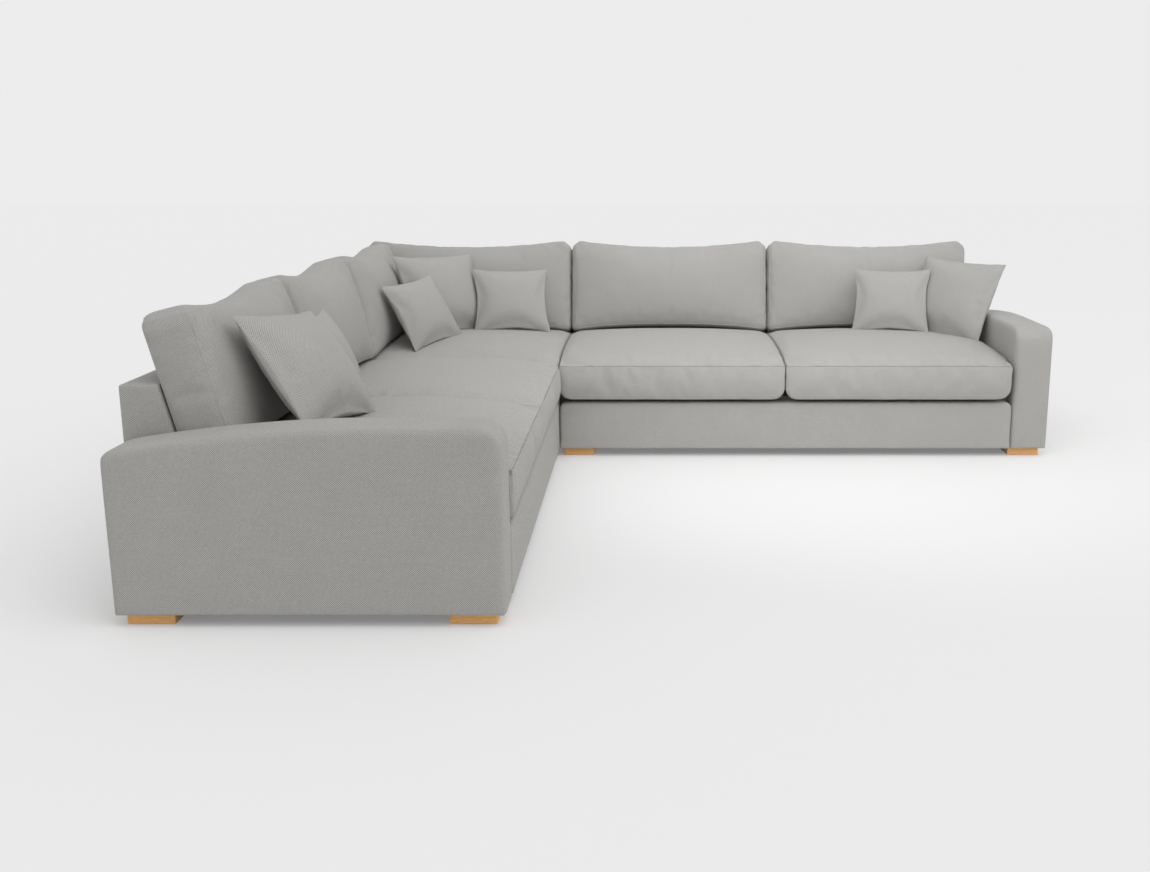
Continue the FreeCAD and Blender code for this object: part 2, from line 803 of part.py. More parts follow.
def closed_loft(profiles):
    """A solid through closed profiles, each a list of points and middle points of arcs.

    A profile holds (start, middle) pairs: an arc goes through its middle, and a straight
    run has None there.
    """
    wires = []
    for profile in profiles:
        edges = []
        for (start, middle), (end, _) in zip(profile, profile[1:] + profile[:1]):
            if middle is None:
                edges.append(Part.LineSegment(start, end).toShape())
            else:
                edges.append(Part.Arc(start, middle, end).toShape())
        wires.append(Part.Wire(edges))
    return Part.makeLoft(wires, True, False)


# How a cushion's last sections change, as shares of its corner radius: the underside rises,
# front and rear draw in, and the seams come down.
END_LIFT = 0.75
END_PINCH = 0.25
END_DROP = 0.3
END_TIGHTEN = 0.6

# Powers of the crown's fall towards a cushion's ends: a higher one stays flat for longer.
SEAT_FALL = 2.5
BACK_FALL = 2.2

# Where a cushion's crest lies, as a share of its depth from the rear or from the front.
SEAT_CREST = 0.52
BACK_CREST = 0.38
BACK_END_PINCH = 0.45

# Places of a cushion's sections across its width, from one end (-1) to the other (1).
STATIONS = (-1.0, -0.97, -0.92, -0.84, -0.7, -0.4, 0.0, 0.4, 0.7, 0.84, 0.92, 0.97, 1.0)


TUCK_START = 0.84


def end_tuck(share):
    """Share of an end's rounding that a section takes: none inside, all at the end."""
    return max(0.0, (abs(share) - TUCK_START) / (1 - TUCK_START)) ** 2


def seat_loft(width, depth, inset):
    """A seat cushion: flat below, rounded under its edges, crowned over its seams.

    It lies on z = 0 with its rear seam at y = 0 and its front at y = -depth.
    """
    corner = size("seat_corner_radius")
    seam = size("seat_seam") - size("platform_height")
    rear_seam = size("seat_rear_seam") - size("platform_height")
    crown = size("seat_crown") - size("platform_height")
    drop = size("seat_side_drop")
    hem = size("seat_seam_inset")
    bulge = size("seat_front_bulge")
    bow = math.sqrt(0.5)
    profiles = []
    for share in STATIONS:
        tuck = end_tuck(share)
        x = share * (width / 2 - inset)
        low = inset + END_LIFT * corner * tuck
        front = -depth + inset + END_PINCH * corner * tuck
        rear = -inset - END_PINCH * corner * tuck
        lowered = inset + END_DROP * corner * tuck
        top = crown - lowered - drop * abs(share) ** SEAT_FALL
        edge, back = seam - lowered, rear_seam - lowered
        wide = corner * (1 - END_TIGHTEN * tuck)
        lip = wide * (1 - bow)
        heel = rear - hem / 2
        profiles.append([
            (Vector(x, rear - wide / 2, low), None),
            (Vector(x, front + wide, low), Vector(x, front + lip, low + lip)),
            (Vector(x, front, low + wide), Vector(x, front - bulge, (low + wide + edge) / 2)),
            (Vector(x, front + hem, edge), Vector(x, -SEAT_CREST * depth, top)),
            (Vector(x, rear - hem, back), Vector(x, rear, (back + low) / 2)),
            (Vector(x, heel, low + wide / 2), Vector(x, heel - lip / 2, low + lip / 2)),
        ])
    solid = closed_loft(profiles)
    above = Part.makeBox(2 * width, 2 * depth, 2 * crown, Vector(-width, -1.5 * depth, inset))
    return solid.common(above)


def back_loft(width, inset):
    """A back cushion: flat behind and below, crowned in front, with a dipped top.

    It stands with its rear face on y = 0 and faces -y; z runs up the rake from the line
    where the raked face meets the height of the seat's rear seam.
    """
    rake = math.radians(size("back_rake"))
    base = size("seat_rear_seam")
    top = (size("back_cushion_top") - base) / math.cos(rake)
    thick = size("back_cushion_edge")
    crown = size("back_cushion_crown")
    corner = size("back_cushion_corner")
    dip = size("back_cushion_dip")
    lift = size("back_cushion_lift")
    rise = size("back_cushion_rise")
    bend = size("back_cushion_shoulder")
    profiles = []
    for share in STATIONS:
        round_off = corner * end_tuck(share)
        x = share * (width / 2 - inset)
        swell = crown * (1 - abs(share) ** BACK_FALL) - BACK_END_PINCH * round_off
        high = top - inset - dip * (1 - share**2) - round_off
        rear = -inset - BACK_END_PINCH * round_off
        front = -thick + inset
        low = inset + rise + lift * (1 - abs(share) ** SEAT_FALL) + END_TIGHTEN * round_off
        shoulder = high - bend
        heel = low + size("back_cushion_heel")
        crest = front + BACK_CREST * (rear - front)
        behind = high - size("back_cushion_rear_drop")
        belly = front - swell
        profiles.append([
            (Vector(x, rear, low), None),
            (Vector(x, front + bend, low), Vector(x, front + bend / 4, low + bend * 0.4)),
            (Vector(x, front - swell / 4, heel), Vector(x, belly, (shoulder + heel) / 2)),
            (Vector(x, front, shoulder), Vector(x, crest, high)),
            (Vector(x, rear, behind), None),
        ])
    solid = closed_loft(profiles)
    ahead = Part.makeBox(2 * width, 4 * thick, 4 * top, Vector(-width, -inset - 4 * thick, -top))
    return solid.common(ahead)


# Share of an inset that a scatter cushion loses in thickness on each side.
SCATTER_THINNING = 0.35


def scatter_loft(side, thick, inset):
    """A knife-edged scatter cushion with drawn-in sides, upright on its centre."""
    waist, hem = size("scatter_waist"), size("scatter_hem")
    half = side / 2 - inset
    tall = side * size("scatter_squat") / 2 - inset
    spare = 2
    profiles = []
    for share in (-1.0, -0.9, -0.75, -0.5, -0.25, 0.0, 0.25, 0.5, 0.75, 0.9, 1.0):
        x = share * (half + spare)
        bulge = (hem + (thick - hem) * (1 - share**2)) / 2 - SCATTER_THINNING * inset
        profiles.append([
            (Vector(x, 0, -tall - spare), Vector(x, -bulge, 0)),
            (Vector(x, 0, tall + spare), Vector(x, bulge, 0)),
        ])
    pillow = closed_loft(profiles)
    corners = [Vector(a * half, -thick, b * tall) for a, b in ((-1, -1), (1, -1), (1, 1), (-1, 1))]
    edges = []
    for a, b in zip(corners, corners[1:] + corners[:1]):
        middle = (a + b) * 0.5
        inward = Vector(-middle.x, 0, -middle.z).normalize()
        edges.append(Part.Arc(a, middle + inward * waist, b).toShape())
    outline = Part.Face(Part.Wire(edges))
    return pillow.common(outline.extrude(Vector(0, 2 * thick, 0)))


def cushion_pair(name, make, place, trims=()):
    """A cushion's cover and the filling inside it, as two sub-parts at one place.

    make(inset) gives the shape, and trims are half spaces, in the row's frame, that both
    are cut with.
    """
    wall = size("cover_thick")
    outer, room, filling = make(0.0), make(wall), make(wall + size("filling_clear"))
    shapes = {}
    for part, solid in (("outer", outer), ("room", room), ("filling", filling)):
        copy = solid.copy()
        copy.Placement = place
        for trim, margin in trims:
            extra = {"outer": 0.0, "room": wall, "filling": wall + size("filling_clear")}[part]
            copy = copy.cut(trim(margin + extra))
        shapes[part] = copy
    cover = doc.addObject("Part::Feature", f"{name}_cover_shape")
    cover.Shape = shapes["outer"].cut(shapes["room"])
    node(cover, f"{name}_cover")
    inner = doc.addObject("Part::Feature", f"{name}_filling_shape")
    inner.Shape = shapes["filling"]
    node(inner, f"{name}_filling")
    return shapes["outer"]


def build_seats():
    """Five seat cushions on the platforms, side by side with small gaps."""
    gap, clear = size("cushion_gap"), size("cushion_clear")
    height = size("platform_height") + clear
    rear = rake_run(size("platform_height")) + gap
    depth = size("unit_depth") + size("seat_overhang") - rear
    left_depth = size("unit_depth") + size("left_seat_overhang") - rear
    corner_x, corner_y = size("corner_seat_width"), size("corner_seat_depth")
    split = size("left_seat_split")
    left_end = size("overall_length") - size("arm_thick")
    right_end = size("overall_width") - size("arm_thick") - size("right_seat_slack")
    right_split = (corner_x + right_end) / 2
    outers = {}
    quarter = Rotation(Vector(0, 0, 1), 90)
    spans = (("left_outer_seat", split, left_end), ("left_inner_seat", corner_y, split))
    for name, low, high in spans:
        width = high - low - gap
        place = Placement(here(rear, -(low + high) / 2, height), quarter)
        outers[name] = cushion_pair(
            name, lambda inset, w=width: seat_loft(w, left_depth, inset), place
        )
    width, corner_depth = corner_x - rear - gap / 2, corner_y - rear - gap / 2
    place = Placement(here((rear + corner_x - gap / 2) / 2, -rear, height), Rotation())
    outers["corner_seat"] = cushion_pair(
        "corner_seat", lambda inset: seat_loft(width, corner_depth, inset), place
    )
    spans = (("right_inner_seat", corner_x, right_split), ("right_outer_seat", right_split, right_end))
    for name, low, high in spans:
        wide = high - low - gap
        place = Placement(here((low + high) / 2, -rear, height), Rotation())
        outers[name] = cushion_pair(name, lambda inset, w=wide: seat_loft(w, depth, inset), place)
    return outers


def behind_plane(side, distance):
    """A large block behind a plane parallel to a back's raked face.

    The plane lies at a distance in front of the raked face of the left or the rear back.
    """
    rake = size("back_rake")
    big = 4000
    slab = Part.makeBox(2 * big, big, 2 * big, Vector(-big, 0, -big))
    foot = rake_run(size("platform_height"))
    lean = Rotation(Vector(1, 0, 0), -rake)
    if side == "rear":
        turn, at = Rotation(), here(0, -foot, size("platform_height"))
    else:
        turn, at = Rotation(Vector(0, 0, 1), 90), here(foot, 0, size("platform_height"))
    ahead = Placement(Vector(0, -distance, 0), Rotation())
    slab.Placement = Placement(at, turn.multiply(lean)).multiply(ahead)
    return slab


def build_backs():
    """Six back cushions that lean on the raked backs and stand over the seats."""
    gap, clear = size("cushion_gap"), size("cushion_clear")
    base = size("seat_rear_seam")
    foot = rake_run(base)
    lean = Rotation(Vector(1, 0, 0), -size("back_rake"))
    nudge = Placement(Vector(0, -clear, 0), Rotation())
    front = size("back_cushion_edge") + size("back_cushion_crown")
    corner_x, corner_y = size("corner_seat_width"), size("corner_seat_depth")
    left_end = size("overall_length") - size("arm_thick")
    right_end = size("overall_width") - size("arm_thick")
    right_split = (corner_x + right_end - size("right_seat_slack")) / 2
    quarter = Rotation(Vector(0, 0, 1), 90)
    left_far = size("back_cushion_edge")
    spans = {
        "left_outer_back": (size("left_seat_split"), left_end),
        "left_inner_back": (corner_y, size("left_seat_split")),
        "left_corner_back": (left_far, corner_y),
    }
    for name, (low, high) in spans.items():
        width = high - low - gap
        turned = quarter.multiply(lean)
        place = Placement(here(foot, -(low + high) / 2, base), turned).multiply(nudge)
        trims = ()
        if name == "left_corner_back":
            trims = ((lambda margin: behind_plane("rear", margin), front + gap),)
        cushion_pair(name, lambda inset, w=width: back_loft(w, inset), place, trims)
    spans = {
        "rear_corner_back": (size("back_top_thick") * 0.6, corner_x),
        "rear_inner_back": (corner_x, right_split),
        "rear_outer_back": (right_split, right_end),
    }
    for name, (low, high) in spans.items():
        width = high - low - gap
        place = Placement(here((low + high) / 2, -foot, base), lean).multiply(nudge)
        trims = ()
        if name == "rear_corner_back":
            trims = ((lambda margin: behind_plane("left", margin), gap),)
        cushion_pair(name, lambda inset, w=width: back_loft(w, inset), place, trims)


# Scatter cushions: name, large or small, the seat it stands on, where its middle lies, its
# turn about the vertical, lean back and roll in degrees. The place counts inwards from the
# front of the back cushions or from the arm beside it, and up from the seat's front seam.
SCATTERS = (
    ("left_small_scatter", "small", "left_outer_seat", (-8, 629, 200), 90, 24, 0),
    ("left_large_scatter", "large", "left_outer_seat", (28, 272, 222), 81, 36, 7),
    ("corner_large_scatter", "large", "corner_seat", (75, 92, 222), 46, 25, 2),
    ("corner_left_scatter", "small", "corner_seat", (42, 392, 195), 62, 30, -4),
    ("corner_right_scatter", "small", "corner_seat", (381, 31, 202), 12, 29, 1),
    ("right_large_scatter", "large", "right_outer_seat", (134, 90, 222), -47, 28, 2),
    ("right_small_scatter", "small", "right_outer_seat", (406, 64, 205), -14, 29, -1),
)


def settle(shape, way, carrier, clearance):
    """Move a shape along a way, in steps that can't cross, until it almost touches."""
    for _ in range(14):
        spare = shape.distToShape(carrier)[0] - clearance
        if spare < 0.1:
            break
        shape.Placement = Placement(way * spare, Rotation()).multiply(shape.Placement)
    return shape.Placement


def build_scatters(outers):
    """Seven scatter cushions that stand on the seats."""
    front = rake_run(size("platform_height"))
    front += size("back_cushion_edge") + size("back_cushion_crown")
    left_arm = size("overall_length") - size("arm_thick")
    right_arm = size("overall_width") - size("arm_thick")
    for name, kind, seat, (across_room, along_room, up), turn, lean, roll in SCATTERS:
        side, thick = size(f"{kind}_scatter"), size(f"{kind}_scatter_thick")
        x, y = front + across_room, -front - along_room
        if seat == "left_outer_seat":
            y = along_room - left_arm
        elif seat == "right_outer_seat":
            x = right_arm - across_room
        turned = Rotation(Vector(0, 0, 1), turn).multiply(Rotation(Vector(1, 0, 0), -lean))
        turned = turned.multiply(Rotation(Vector(0, 1, 0), roll))
        raised = up + size("scatter_drop_in")
        place = Placement(here(x, y, size("seat_seam") + raised), turned)
        outer = scatter_loft(side, thick, 0.0)
        outer.Placement = place
        place = settle(outer, Vector(0, 0, -1), outers[seat], size("cushion_clear"))
        print(name, "stands at height", round(place.Base.z - size("seat_seam"), 1), "over the seam")
        cushion_pair(name, lambda inset: scatter_loft(side, thick, inset), place)


def check_and_write():
    """Stop on any failed object or bad shape, then write one file for each sub-part."""
    doc.recompute()
    for item in doc.Objects:
        if "Invalid" in item.State or "Error" in item.State:
            raise RuntimeError(f"{item.Name} failed: {item.State}")
    os.makedirs("parts", exist_ok=True)
    for item in NODES:
        shape = item.Shape
        if shape.isNull() or not shape.isValid() or not shape.Solids:
            raise RuntimeError(f"{item.Label} has no valid solid")
        if any(solid.Volume <= 0 for solid in shape.Solids):
            raise RuntimeError(f"{item.Label} has an empty solid")
        shape.exportStep(f"parts/{item.Label}.step")
    print(len(NODES), "sub-parts written")


for unit in ZONES:
    build_base_frame(unit)
    build_back_frame(unit)
    build_back_cover(unit)
    build_platform(unit)
for unit in ("left", "right"):
    build_front_panel(unit)
    build_arm_cover(unit)
    build_arm_frame(unit)
build_springs()
build_dust_covers()
build_feet()
build_bolts()
build_straps()
build_screws()
seats = build_seats()
build_backs()
build_scatters(seats)
check_and_write()
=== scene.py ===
"""Looks of an upholstered corner sofa: covers, loose cushions and oak feet over its frame.

Metres, in the frame's own axes: +X along the longer run, +Y to its back, +Z up.
"""
import json
import logging
import math
from dataclasses import dataclass, field
from enum import Enum
from typing import Iterable, Sequence

import bpy
import numpy as np
from mathutils import Matrix, Vector


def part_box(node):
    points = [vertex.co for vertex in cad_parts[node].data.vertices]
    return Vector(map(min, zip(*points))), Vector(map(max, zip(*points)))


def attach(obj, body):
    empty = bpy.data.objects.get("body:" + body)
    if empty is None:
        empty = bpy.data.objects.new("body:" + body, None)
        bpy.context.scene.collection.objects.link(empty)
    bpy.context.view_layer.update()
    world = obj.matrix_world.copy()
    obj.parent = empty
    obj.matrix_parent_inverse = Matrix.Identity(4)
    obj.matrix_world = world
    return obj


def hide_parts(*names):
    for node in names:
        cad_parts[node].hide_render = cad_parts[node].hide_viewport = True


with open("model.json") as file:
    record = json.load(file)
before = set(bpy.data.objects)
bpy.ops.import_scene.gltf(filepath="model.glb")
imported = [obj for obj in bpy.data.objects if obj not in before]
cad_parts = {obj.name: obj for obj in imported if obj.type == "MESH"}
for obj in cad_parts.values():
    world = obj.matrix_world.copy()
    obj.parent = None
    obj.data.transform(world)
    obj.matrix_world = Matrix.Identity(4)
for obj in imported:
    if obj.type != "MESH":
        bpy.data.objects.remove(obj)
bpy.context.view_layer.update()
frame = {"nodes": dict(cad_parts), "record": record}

logging.basicConfig(level=logging.INFO, format="%(message)s")
log = logging.getLogger("sofa")

CLOTH_MAP = "cloth"
# Point attribute of the sewn edges, scaled by the painted light along them: positive paints shade
# into a valley seam, negative paints a highlight on a ridge seam.
SEAM_PAINTED_LIGHT_MASK = "seam"
REST_PLACE = "rest"
FABRIC_SLOT = "upholstery_fabric"


class Seam(Enum):
    """How a sewn edge shows: drawn into the filling, or standing proud of it."""

    VALLEY = -1
    RIDGE = 1


class Facing(Enum):
    """The way a run of the sofa faces, as degrees turned about the vertical."""

    OPEN_FRONT = 0
    OPEN_RIGHT = 90


class Face(Enum):
    """The six sides of a gridded box, as the axis and the end that it lies at."""

    LEFT = (0, 0)
    RIGHT = (0, 1)
    FRONT = (1, 0)
    REAR = (1, 1)
    BOTTOM = (2, 0)
    TOP = (2, 1)


class Sock:
    """A shader socket that takes part in arithmetic, each operation adding one Math node."""

    def __init__(self, shader: "Shader", socket: bpy.types.NodeSocket) -> None:
        """Wraps a socket of a shader's tree."""
        self.shader = shader
        self.socket = socket

    def _math(self, operation: str, *values: "Sock | float") -> "Sock":
        """Adds a Math node on the given values."""
        return self.shader.add("ShaderNodeMath", {"operation": operation}, *values)

    def __add__(self, other: "Sock | float") -> "Sock":
        """Sum."""
        return self._math("ADD", self, other)

    __radd__ = __add__

    def __sub__(self, other: "Sock | float") -> "Sock":
        """Difference."""
        return self._math("SUBTRACT", self, other)

    def __rsub__(self, other: "Sock | float") -> "Sock":
        """Difference from a number."""
        return self._math("SUBTRACT", other, self)

    def __mul__(self, other: "Sock | float") -> "Sock":
        """Product."""
        return self._math("MULTIPLY", self, other)

    __rmul__ = __mul__

    def __truediv__(self, other: "Sock | float") -> "Sock":
        """Quotient."""
        return self._math("DIVIDE", self, other)

    def __mod__(self, other: "Sock | float") -> "Sock":
        """Remainder that is never negative."""
        return self._math("FLOORED_MODULO", self, other)

    def floor(self) -> "Sock":
        """Whole part."""
        return self._math("FLOOR", self)

    def sine(self) -> "Sock":
        """Sine of the value in radians."""
        return self._math("SINE", self)

    def size(self) -> "Sock":
        """Value without its sign."""
        return self._math("ABSOLUTE", self)

    def clamp(self) -> "Sock":
        """Value held between 0 and 1."""
        return self._math("MINIMUM", self._math("MAXIMUM", self, 0.0), 1.0)

    def between(self, low: float, high: float) -> "Sock":
        """Smooth step from 0 at one value to 1 at another."""
        return self.shader.add(
            "ShaderNodeMapRange", {"interpolation_type": "SMOOTHSTEP"}, self, low, high, 0.0, 1.0
        )


class Shader:
    """A material's node tree and the few calls that build it."""

    def __init__(self, name: str) -> None:
        """Makes a material with only a Principled shader in it."""
        self.material = bpy.data.materials.new(name)
        self.material.use_nodes = True
        self.tree = self.material.node_tree
        self.surface = next(n for n in self.tree.nodes if n.type == "BSDF_PRINCIPLED")

    def add(self, kind: str, settings: dict, *values: object, **named: object) -> Sock:
        """Adds one node.

        Args:
            kind: The node's type.
            settings: Properties set before anything is linked; "output" names the socket to
                return.
            values: Numbers, tuples or sockets for the inputs, in order, None to skip one.
            named: The same by input name, with spaces written as underscores.

        Returns:
            The node's first output, or the one that settings name.
        """
        node = self.tree.nodes.new(kind)
        output = settings.get("output", 0)
        for key, value in settings.items():
            if key != "output":
                setattr(node, key, value)
        inputs = [(node.inputs[i], v) for i, v in enumerate(values)]
        inputs += [(node.inputs[k.replace("_", " ")], v) for k, v in named.items()]
        for socket, value in inputs:
            self.feed(socket, value)
        return Sock(self, node.outputs[output])

    def feed(self, socket: bpy.types.NodeSocket, value: object) -> None:
        """Sets a socket to a number or a tuple, or links it."""
        if value is None:
            return
        if isinstance(value, Sock):
            self.tree.links.new(value.socket, socket)
        else:
            socket.default_value = value

    def mix(self, share: Sock, first: object, second: object) -> Sock:
        """A colour between two colours, by a share."""
        settings = {"data_type": "RGBA", "output": 2}
        node = self.add("ShaderNodeMix", settings, share)
        made = node.socket.node
        for socket, value in ((made.inputs[6], first), (made.inputs[7], second)):
            self.feed(socket, (*value, 1.0) if isinstance(value, tuple) else value)
        return node

    def place(self) -> Sock:
        """The place on the piece, in metres."""
        return self.add("ShaderNodeTexCoord", {"output": "Object"})

    def parts(self, vector: Sock) -> tuple[Sock, Sock, Sock]:
        """The three numbers of a vector."""
        node = self.add("ShaderNodeSeparateXYZ", {}, vector).socket.node
        return tuple(Sock(self, out) for out in node.outputs)

    def vector(self, *values: "Sock | float") -> Sock:
        """A vector of three numbers."""
        return self.add("ShaderNodeCombineXYZ", {}, *values)

    def noise(self, at: Sock, scale: float, detail: float = 3.0, roughness: float = 0.5) -> Sock:
        """Smooth noise from 0 to 1 at a place."""
        settings = {"noise_dimensions": "3D"}
        return self.add("ShaderNodeTexNoise", settings, at, None, scale, detail, roughness)

    def finish(self, **inputs: object) -> bpy.types.Material:
        """Sets the Principled shader's inputs by name and returns the material."""
        for name, value in inputs.items():
            self.feed(self.surface.inputs[name.replace("_", " ")], value)
        return self.material

    def bump(self, height: Sock, strength: float, depth: float) -> Sock:
        """A normal from a height, at a strength over a real depth."""
        return self.add("ShaderNodeBump", {}, Strength=strength, Distance=depth, Height=height)


Colour = tuple[float, float, float]


@dataclass(frozen=True)
class WovenFabric:
    """Basket-weave upholstery cloth of two mixed yarns, laid by the cloth's own coordinates, with
    painted shade in the hollows between its threads and painted light along its seams.
    """

    name: str
    light: Colour
    dark: Colour
    thread: float = 0.003
    # Painted shade of the weave: how much lighter each thread's crown is than the hollows beside
    # it.
    relief_painted_shade: float = 0.34
    contrast: float = 0.5
    fleck_strength: float = 0.1
    slub_strength: float = 0.2
    cloud_strength: float = 0.08
    shade: float = 0.14
    # Strength of the painted light along seams: a dark line of painted shade in valley seams, a
    # painted highlight on ridge seams.
    seam_painted_light: float = 0.5
    slub_waves: tuple[float, float] = (420.0, 9.0)
    bump_depth: float = 0.001

    def make(self) -> bpy.types.Material:
        """Builds the cloth's material."""
        shader = Shader(self.name)
        at = shader.add("ShaderNodeUVMap", {"uv_map": CLOTH_MAP})
        u, v, _ = shader.parts(at)
        across, along = u / self.thread, v / self.thread
        warp, weft = across.floor(), along.floor()
        over = (warp + weft) % 2.0
        warp_round = (across * math.pi).sine().size()
        weft_round = (along * math.pi).sine().size()
        height = over * warp_round + (1 - over) * weft_round
        cell = shader.vector(warp, weft, over)
        fleck = shader.add("ShaderNodeTexWhiteNoise", {"noise_dimensions": "3D"}, cell)
        fine, coarse = self.slub_waves
        long_warp = shader.noise(shader.vector(u * fine, v * coarse, 0.0), 1.0)
        long_weft = shader.noise(shader.vector(u * coarse, v * fine, 3.0), 1.0)
        streak = over * long_warp + (1 - over) * long_weft
        cloud = shader.noise(shader.vector(u, v, 0.0), 9.0, 4.0)
        # The first term paints light on the thread crowns and shade into the hollows between
        # threads; the rest is the yarns' own colour: which yarn lies on top, flecks, slubs and
        # clouding.
        share = self.relief_painted_shade * height + self.contrast * over + self.fleck_strength * fleck
        share = share + self.slub_strength * streak + self.cloud_strength * cloud - self.shade
        # Along sewn edges the seam mask paints a dark line of shade into valley seams and a
        # highlight onto ridge seams.
        seam = shader.add("ShaderNodeAttribute", {"attribute_name": SEAM_PAINTED_LIGHT_MASK, "output": 2})
        share = (share - self.seam_painted_light * seam).clamp()
        colour = shader.mix(share, self.dark, self.light)
        normal = shader.bump(height + 0.5 * streak, 0.55, self.bump_depth)
        return shader.finish(
            Base_Color=colour,
            Roughness=0.86 + 0.1 * fleck,
            Normal=normal,
            Sheen_Weight=0.12,
            Sheen_Roughness=0.5,
            Specular_IOR_Level=0.25,
        )


@dataclass(frozen=True)
class OiledOak:
    """Straight-grained oak, oiled to a warm colour, its grain along one axis."""

    name: str
    light: Colour
    dark: Colour
    ring: float = 0.006

    def make(self) -> bpy.types.Material:
        """Builds the wood's material."""
        shader = Shader(self.name)
        at = shader.place()
        x, y, z = shader.parts(at)
        warped = shader.noise(shader.vector(x * 6.0, y * 40.0, z * 40.0), 1.0, 4.0)
        rings = ((y / self.ring + z / self.ring * 0.7 + 5.0 * warped) * math.pi).sine().size()
        pore = shader.noise(shader.vector(x * 60.0, y * 1400.0, z * 1400.0), 1.0, 2.0)
        share = (0.5 * rings + 0.5 * pore.between(0.35, 0.6)).clamp()
        colour = shader.mix(share, self.dark, self.light)
        normal = shader.bump(pore.between(0.3, 0.5), 0.3, 0.0003)
        return shader.finish(
            Base_Color=colour, Roughness=0.42 + 0.2 * (1 - share), Normal=normal,
            Coat_Weight=0.15, Coat_Roughness=0.3,
        )


@dataclass(frozen=True)
class SawnTimber:
    """Unfinished frame timber with saw marks."""

    name: str
    light: Colour
    dark: Colour

    def make(self) -> bpy.types.Material:
        """Builds the timber's material."""
        shader = Shader(self.name)
        at = shader.place()
        x, y, z = shader.parts(at)
        grain = shader.noise(shader.vector(x * 9.0, y * 9.0, z * 160.0), 1.0, 5.0)
        marks = shader.noise(shader.vector(x * 220.0, y * 220.0, z * 8.0), 1.0, 2.0)
        share = (grain.between(0.3, 0.7) * 0.8 + 0.2 * marks).clamp()
        colour = shader.mix(share, self.dark, self.light)
        return shader.finish(
            Base_Color=colour, Roughness=0.7 + 0.2 * marks, Normal=shader.bump(marks, 0.4, 0.0005)
        )


@dataclass(frozen=True)
class FeltedCloth:
    """Matted cloth, felt, foam or fibre with fine random fluff."""

    name: str
    light: Colour
    dark: Colour
    grain: float
    depth: float

    def make(self) -> bpy.types.Material:
        """Builds the felt's material."""
        shader = Shader(self.name)
        at = shader.place()
        fluff = shader.noise(at, 1.0 / self.grain, 5.0, 0.65)
        patch = shader.noise(at, 12.0, 3.0)
        share = (0.7 * fluff + 0.3 * patch).between(0.3, 0.7)
        colour = shader.mix(share, self.dark, self.light)
        return shader.finish(
            Base_Color=colour, Roughness=0.85 + 0.12 * fluff,
            Normal=shader.bump(fluff, 0.6, self.depth), Sheen_Weight=0.15,
        )


@dataclass(frozen=True)
class ZincSteel:
    """Zinc-plated steel with faint spangle and rubbed spots."""

    name: str
    colour: Colour
    dull: Colour

    def make(self) -> bpy.types.Material:
        """Builds the metal's material."""
        shader = Shader(self.name)
        at = shader.place()
        spangle = shader.noise(at, 260.0, 3.0)
        rub = shader.noise(at, 40.0, 4.0).between(0.45, 0.7)
        colour = shader.mix(rub, self.colour, self.dull)
        return shader.finish(
            Base_Color=colour, Metallic=1.0, Roughness=0.28 + 0.16 * spangle + 0.15 * rub,
            Normal=shader.bump(spangle, 0.15, 0.0002),
        )


def grid_lines(low: float, high: float, step: float, close: Sequence[float] = ()) -> np.ndarray:
    """Places of grid lines along one side of a box.

    Args:
        low: Where the side starts.
        high: Where it ends.
        step: About how far apart the lines are.
        close: Distances from either end of extra lines, growing.

    Returns:
        The places, from low to high.
    """
    margin = close[-1] if close else 0.0
    count = max(2, round((high - low - 2 * margin) / step) + 1)
    middle = np.linspace(low + margin, high - margin, count)
    first = [low, *(low + c for c in close[:-1])] if close else []
    last = [*(high - c for c in reversed(close[:-1])), high] if close else []
    return np.array([*first, *middle, *last])


class GridBox:
    """The six gridded sides of a box, joined along its edges, as points and quads."""

    def __init__(self, xs: np.ndarray, ys: np.ndarray, zs: np.ndarray) -> None:
        """Takes the places of the grid lines along each axis."""
        lines = (xs, ys, zs)
        shape = tuple(len(line) for line in lines)
        outer = np.zeros(shape, bool)
        for axis in range(3):
            index = [slice(None)] * 3
            for end in (0, -1):
                index[axis] = end
                outer[tuple(index)] = True
        ids = np.full(shape, -1)
        ids[outer] = np.arange(outer.sum())
        where = np.argwhere(outer)
        self.points = np.stack([lines[a][where[:, a]] for a in range(3)], axis=1)
        self.low = np.array([line[0] for line in lines])
        self.high = np.array([line[-1] for line in lines])
        quads, uvs, faces = [], [], []
        for side in Face:
            axis, end = side.value
            sheet = np.take(ids, -1 if end else 0, axis=axis)
            i, j = [a for a in range(3) if a != axis]
            corners = [sheet[:-1, :-1], sheet[1:, :-1], sheet[1:, 1:], sheet[:-1, 1:]]
            if (axis == 1) == bool(end):
                corners.reverse()
            made = np.stack([c.ravel() for c in corners], axis=1)
            quads.append(made)
            uvs.append(self.points[made][:, :, [i, j]])
            faces.append(np.full(len(made), list(Face).index(side)))
        self.quads = np.concatenate(quads)
        self.uvs = np.concatenate(uvs)
        self.faces = np.concatenate(faces)

    def flip(self) -> None:
        """Turns every quad over, for a use that mirrors the box."""
        self.quads = self.quads[:, ::-1].copy()
        self.uvs = self.uvs[:, ::-1].copy()

    def on(self, side: Face) -> np.ndarray:
        """Which points lie on a side."""
        axis, end = side.value
        place = self.high[axis] if end else self.low[axis]
        return np.isclose(self.points[:, axis], place)


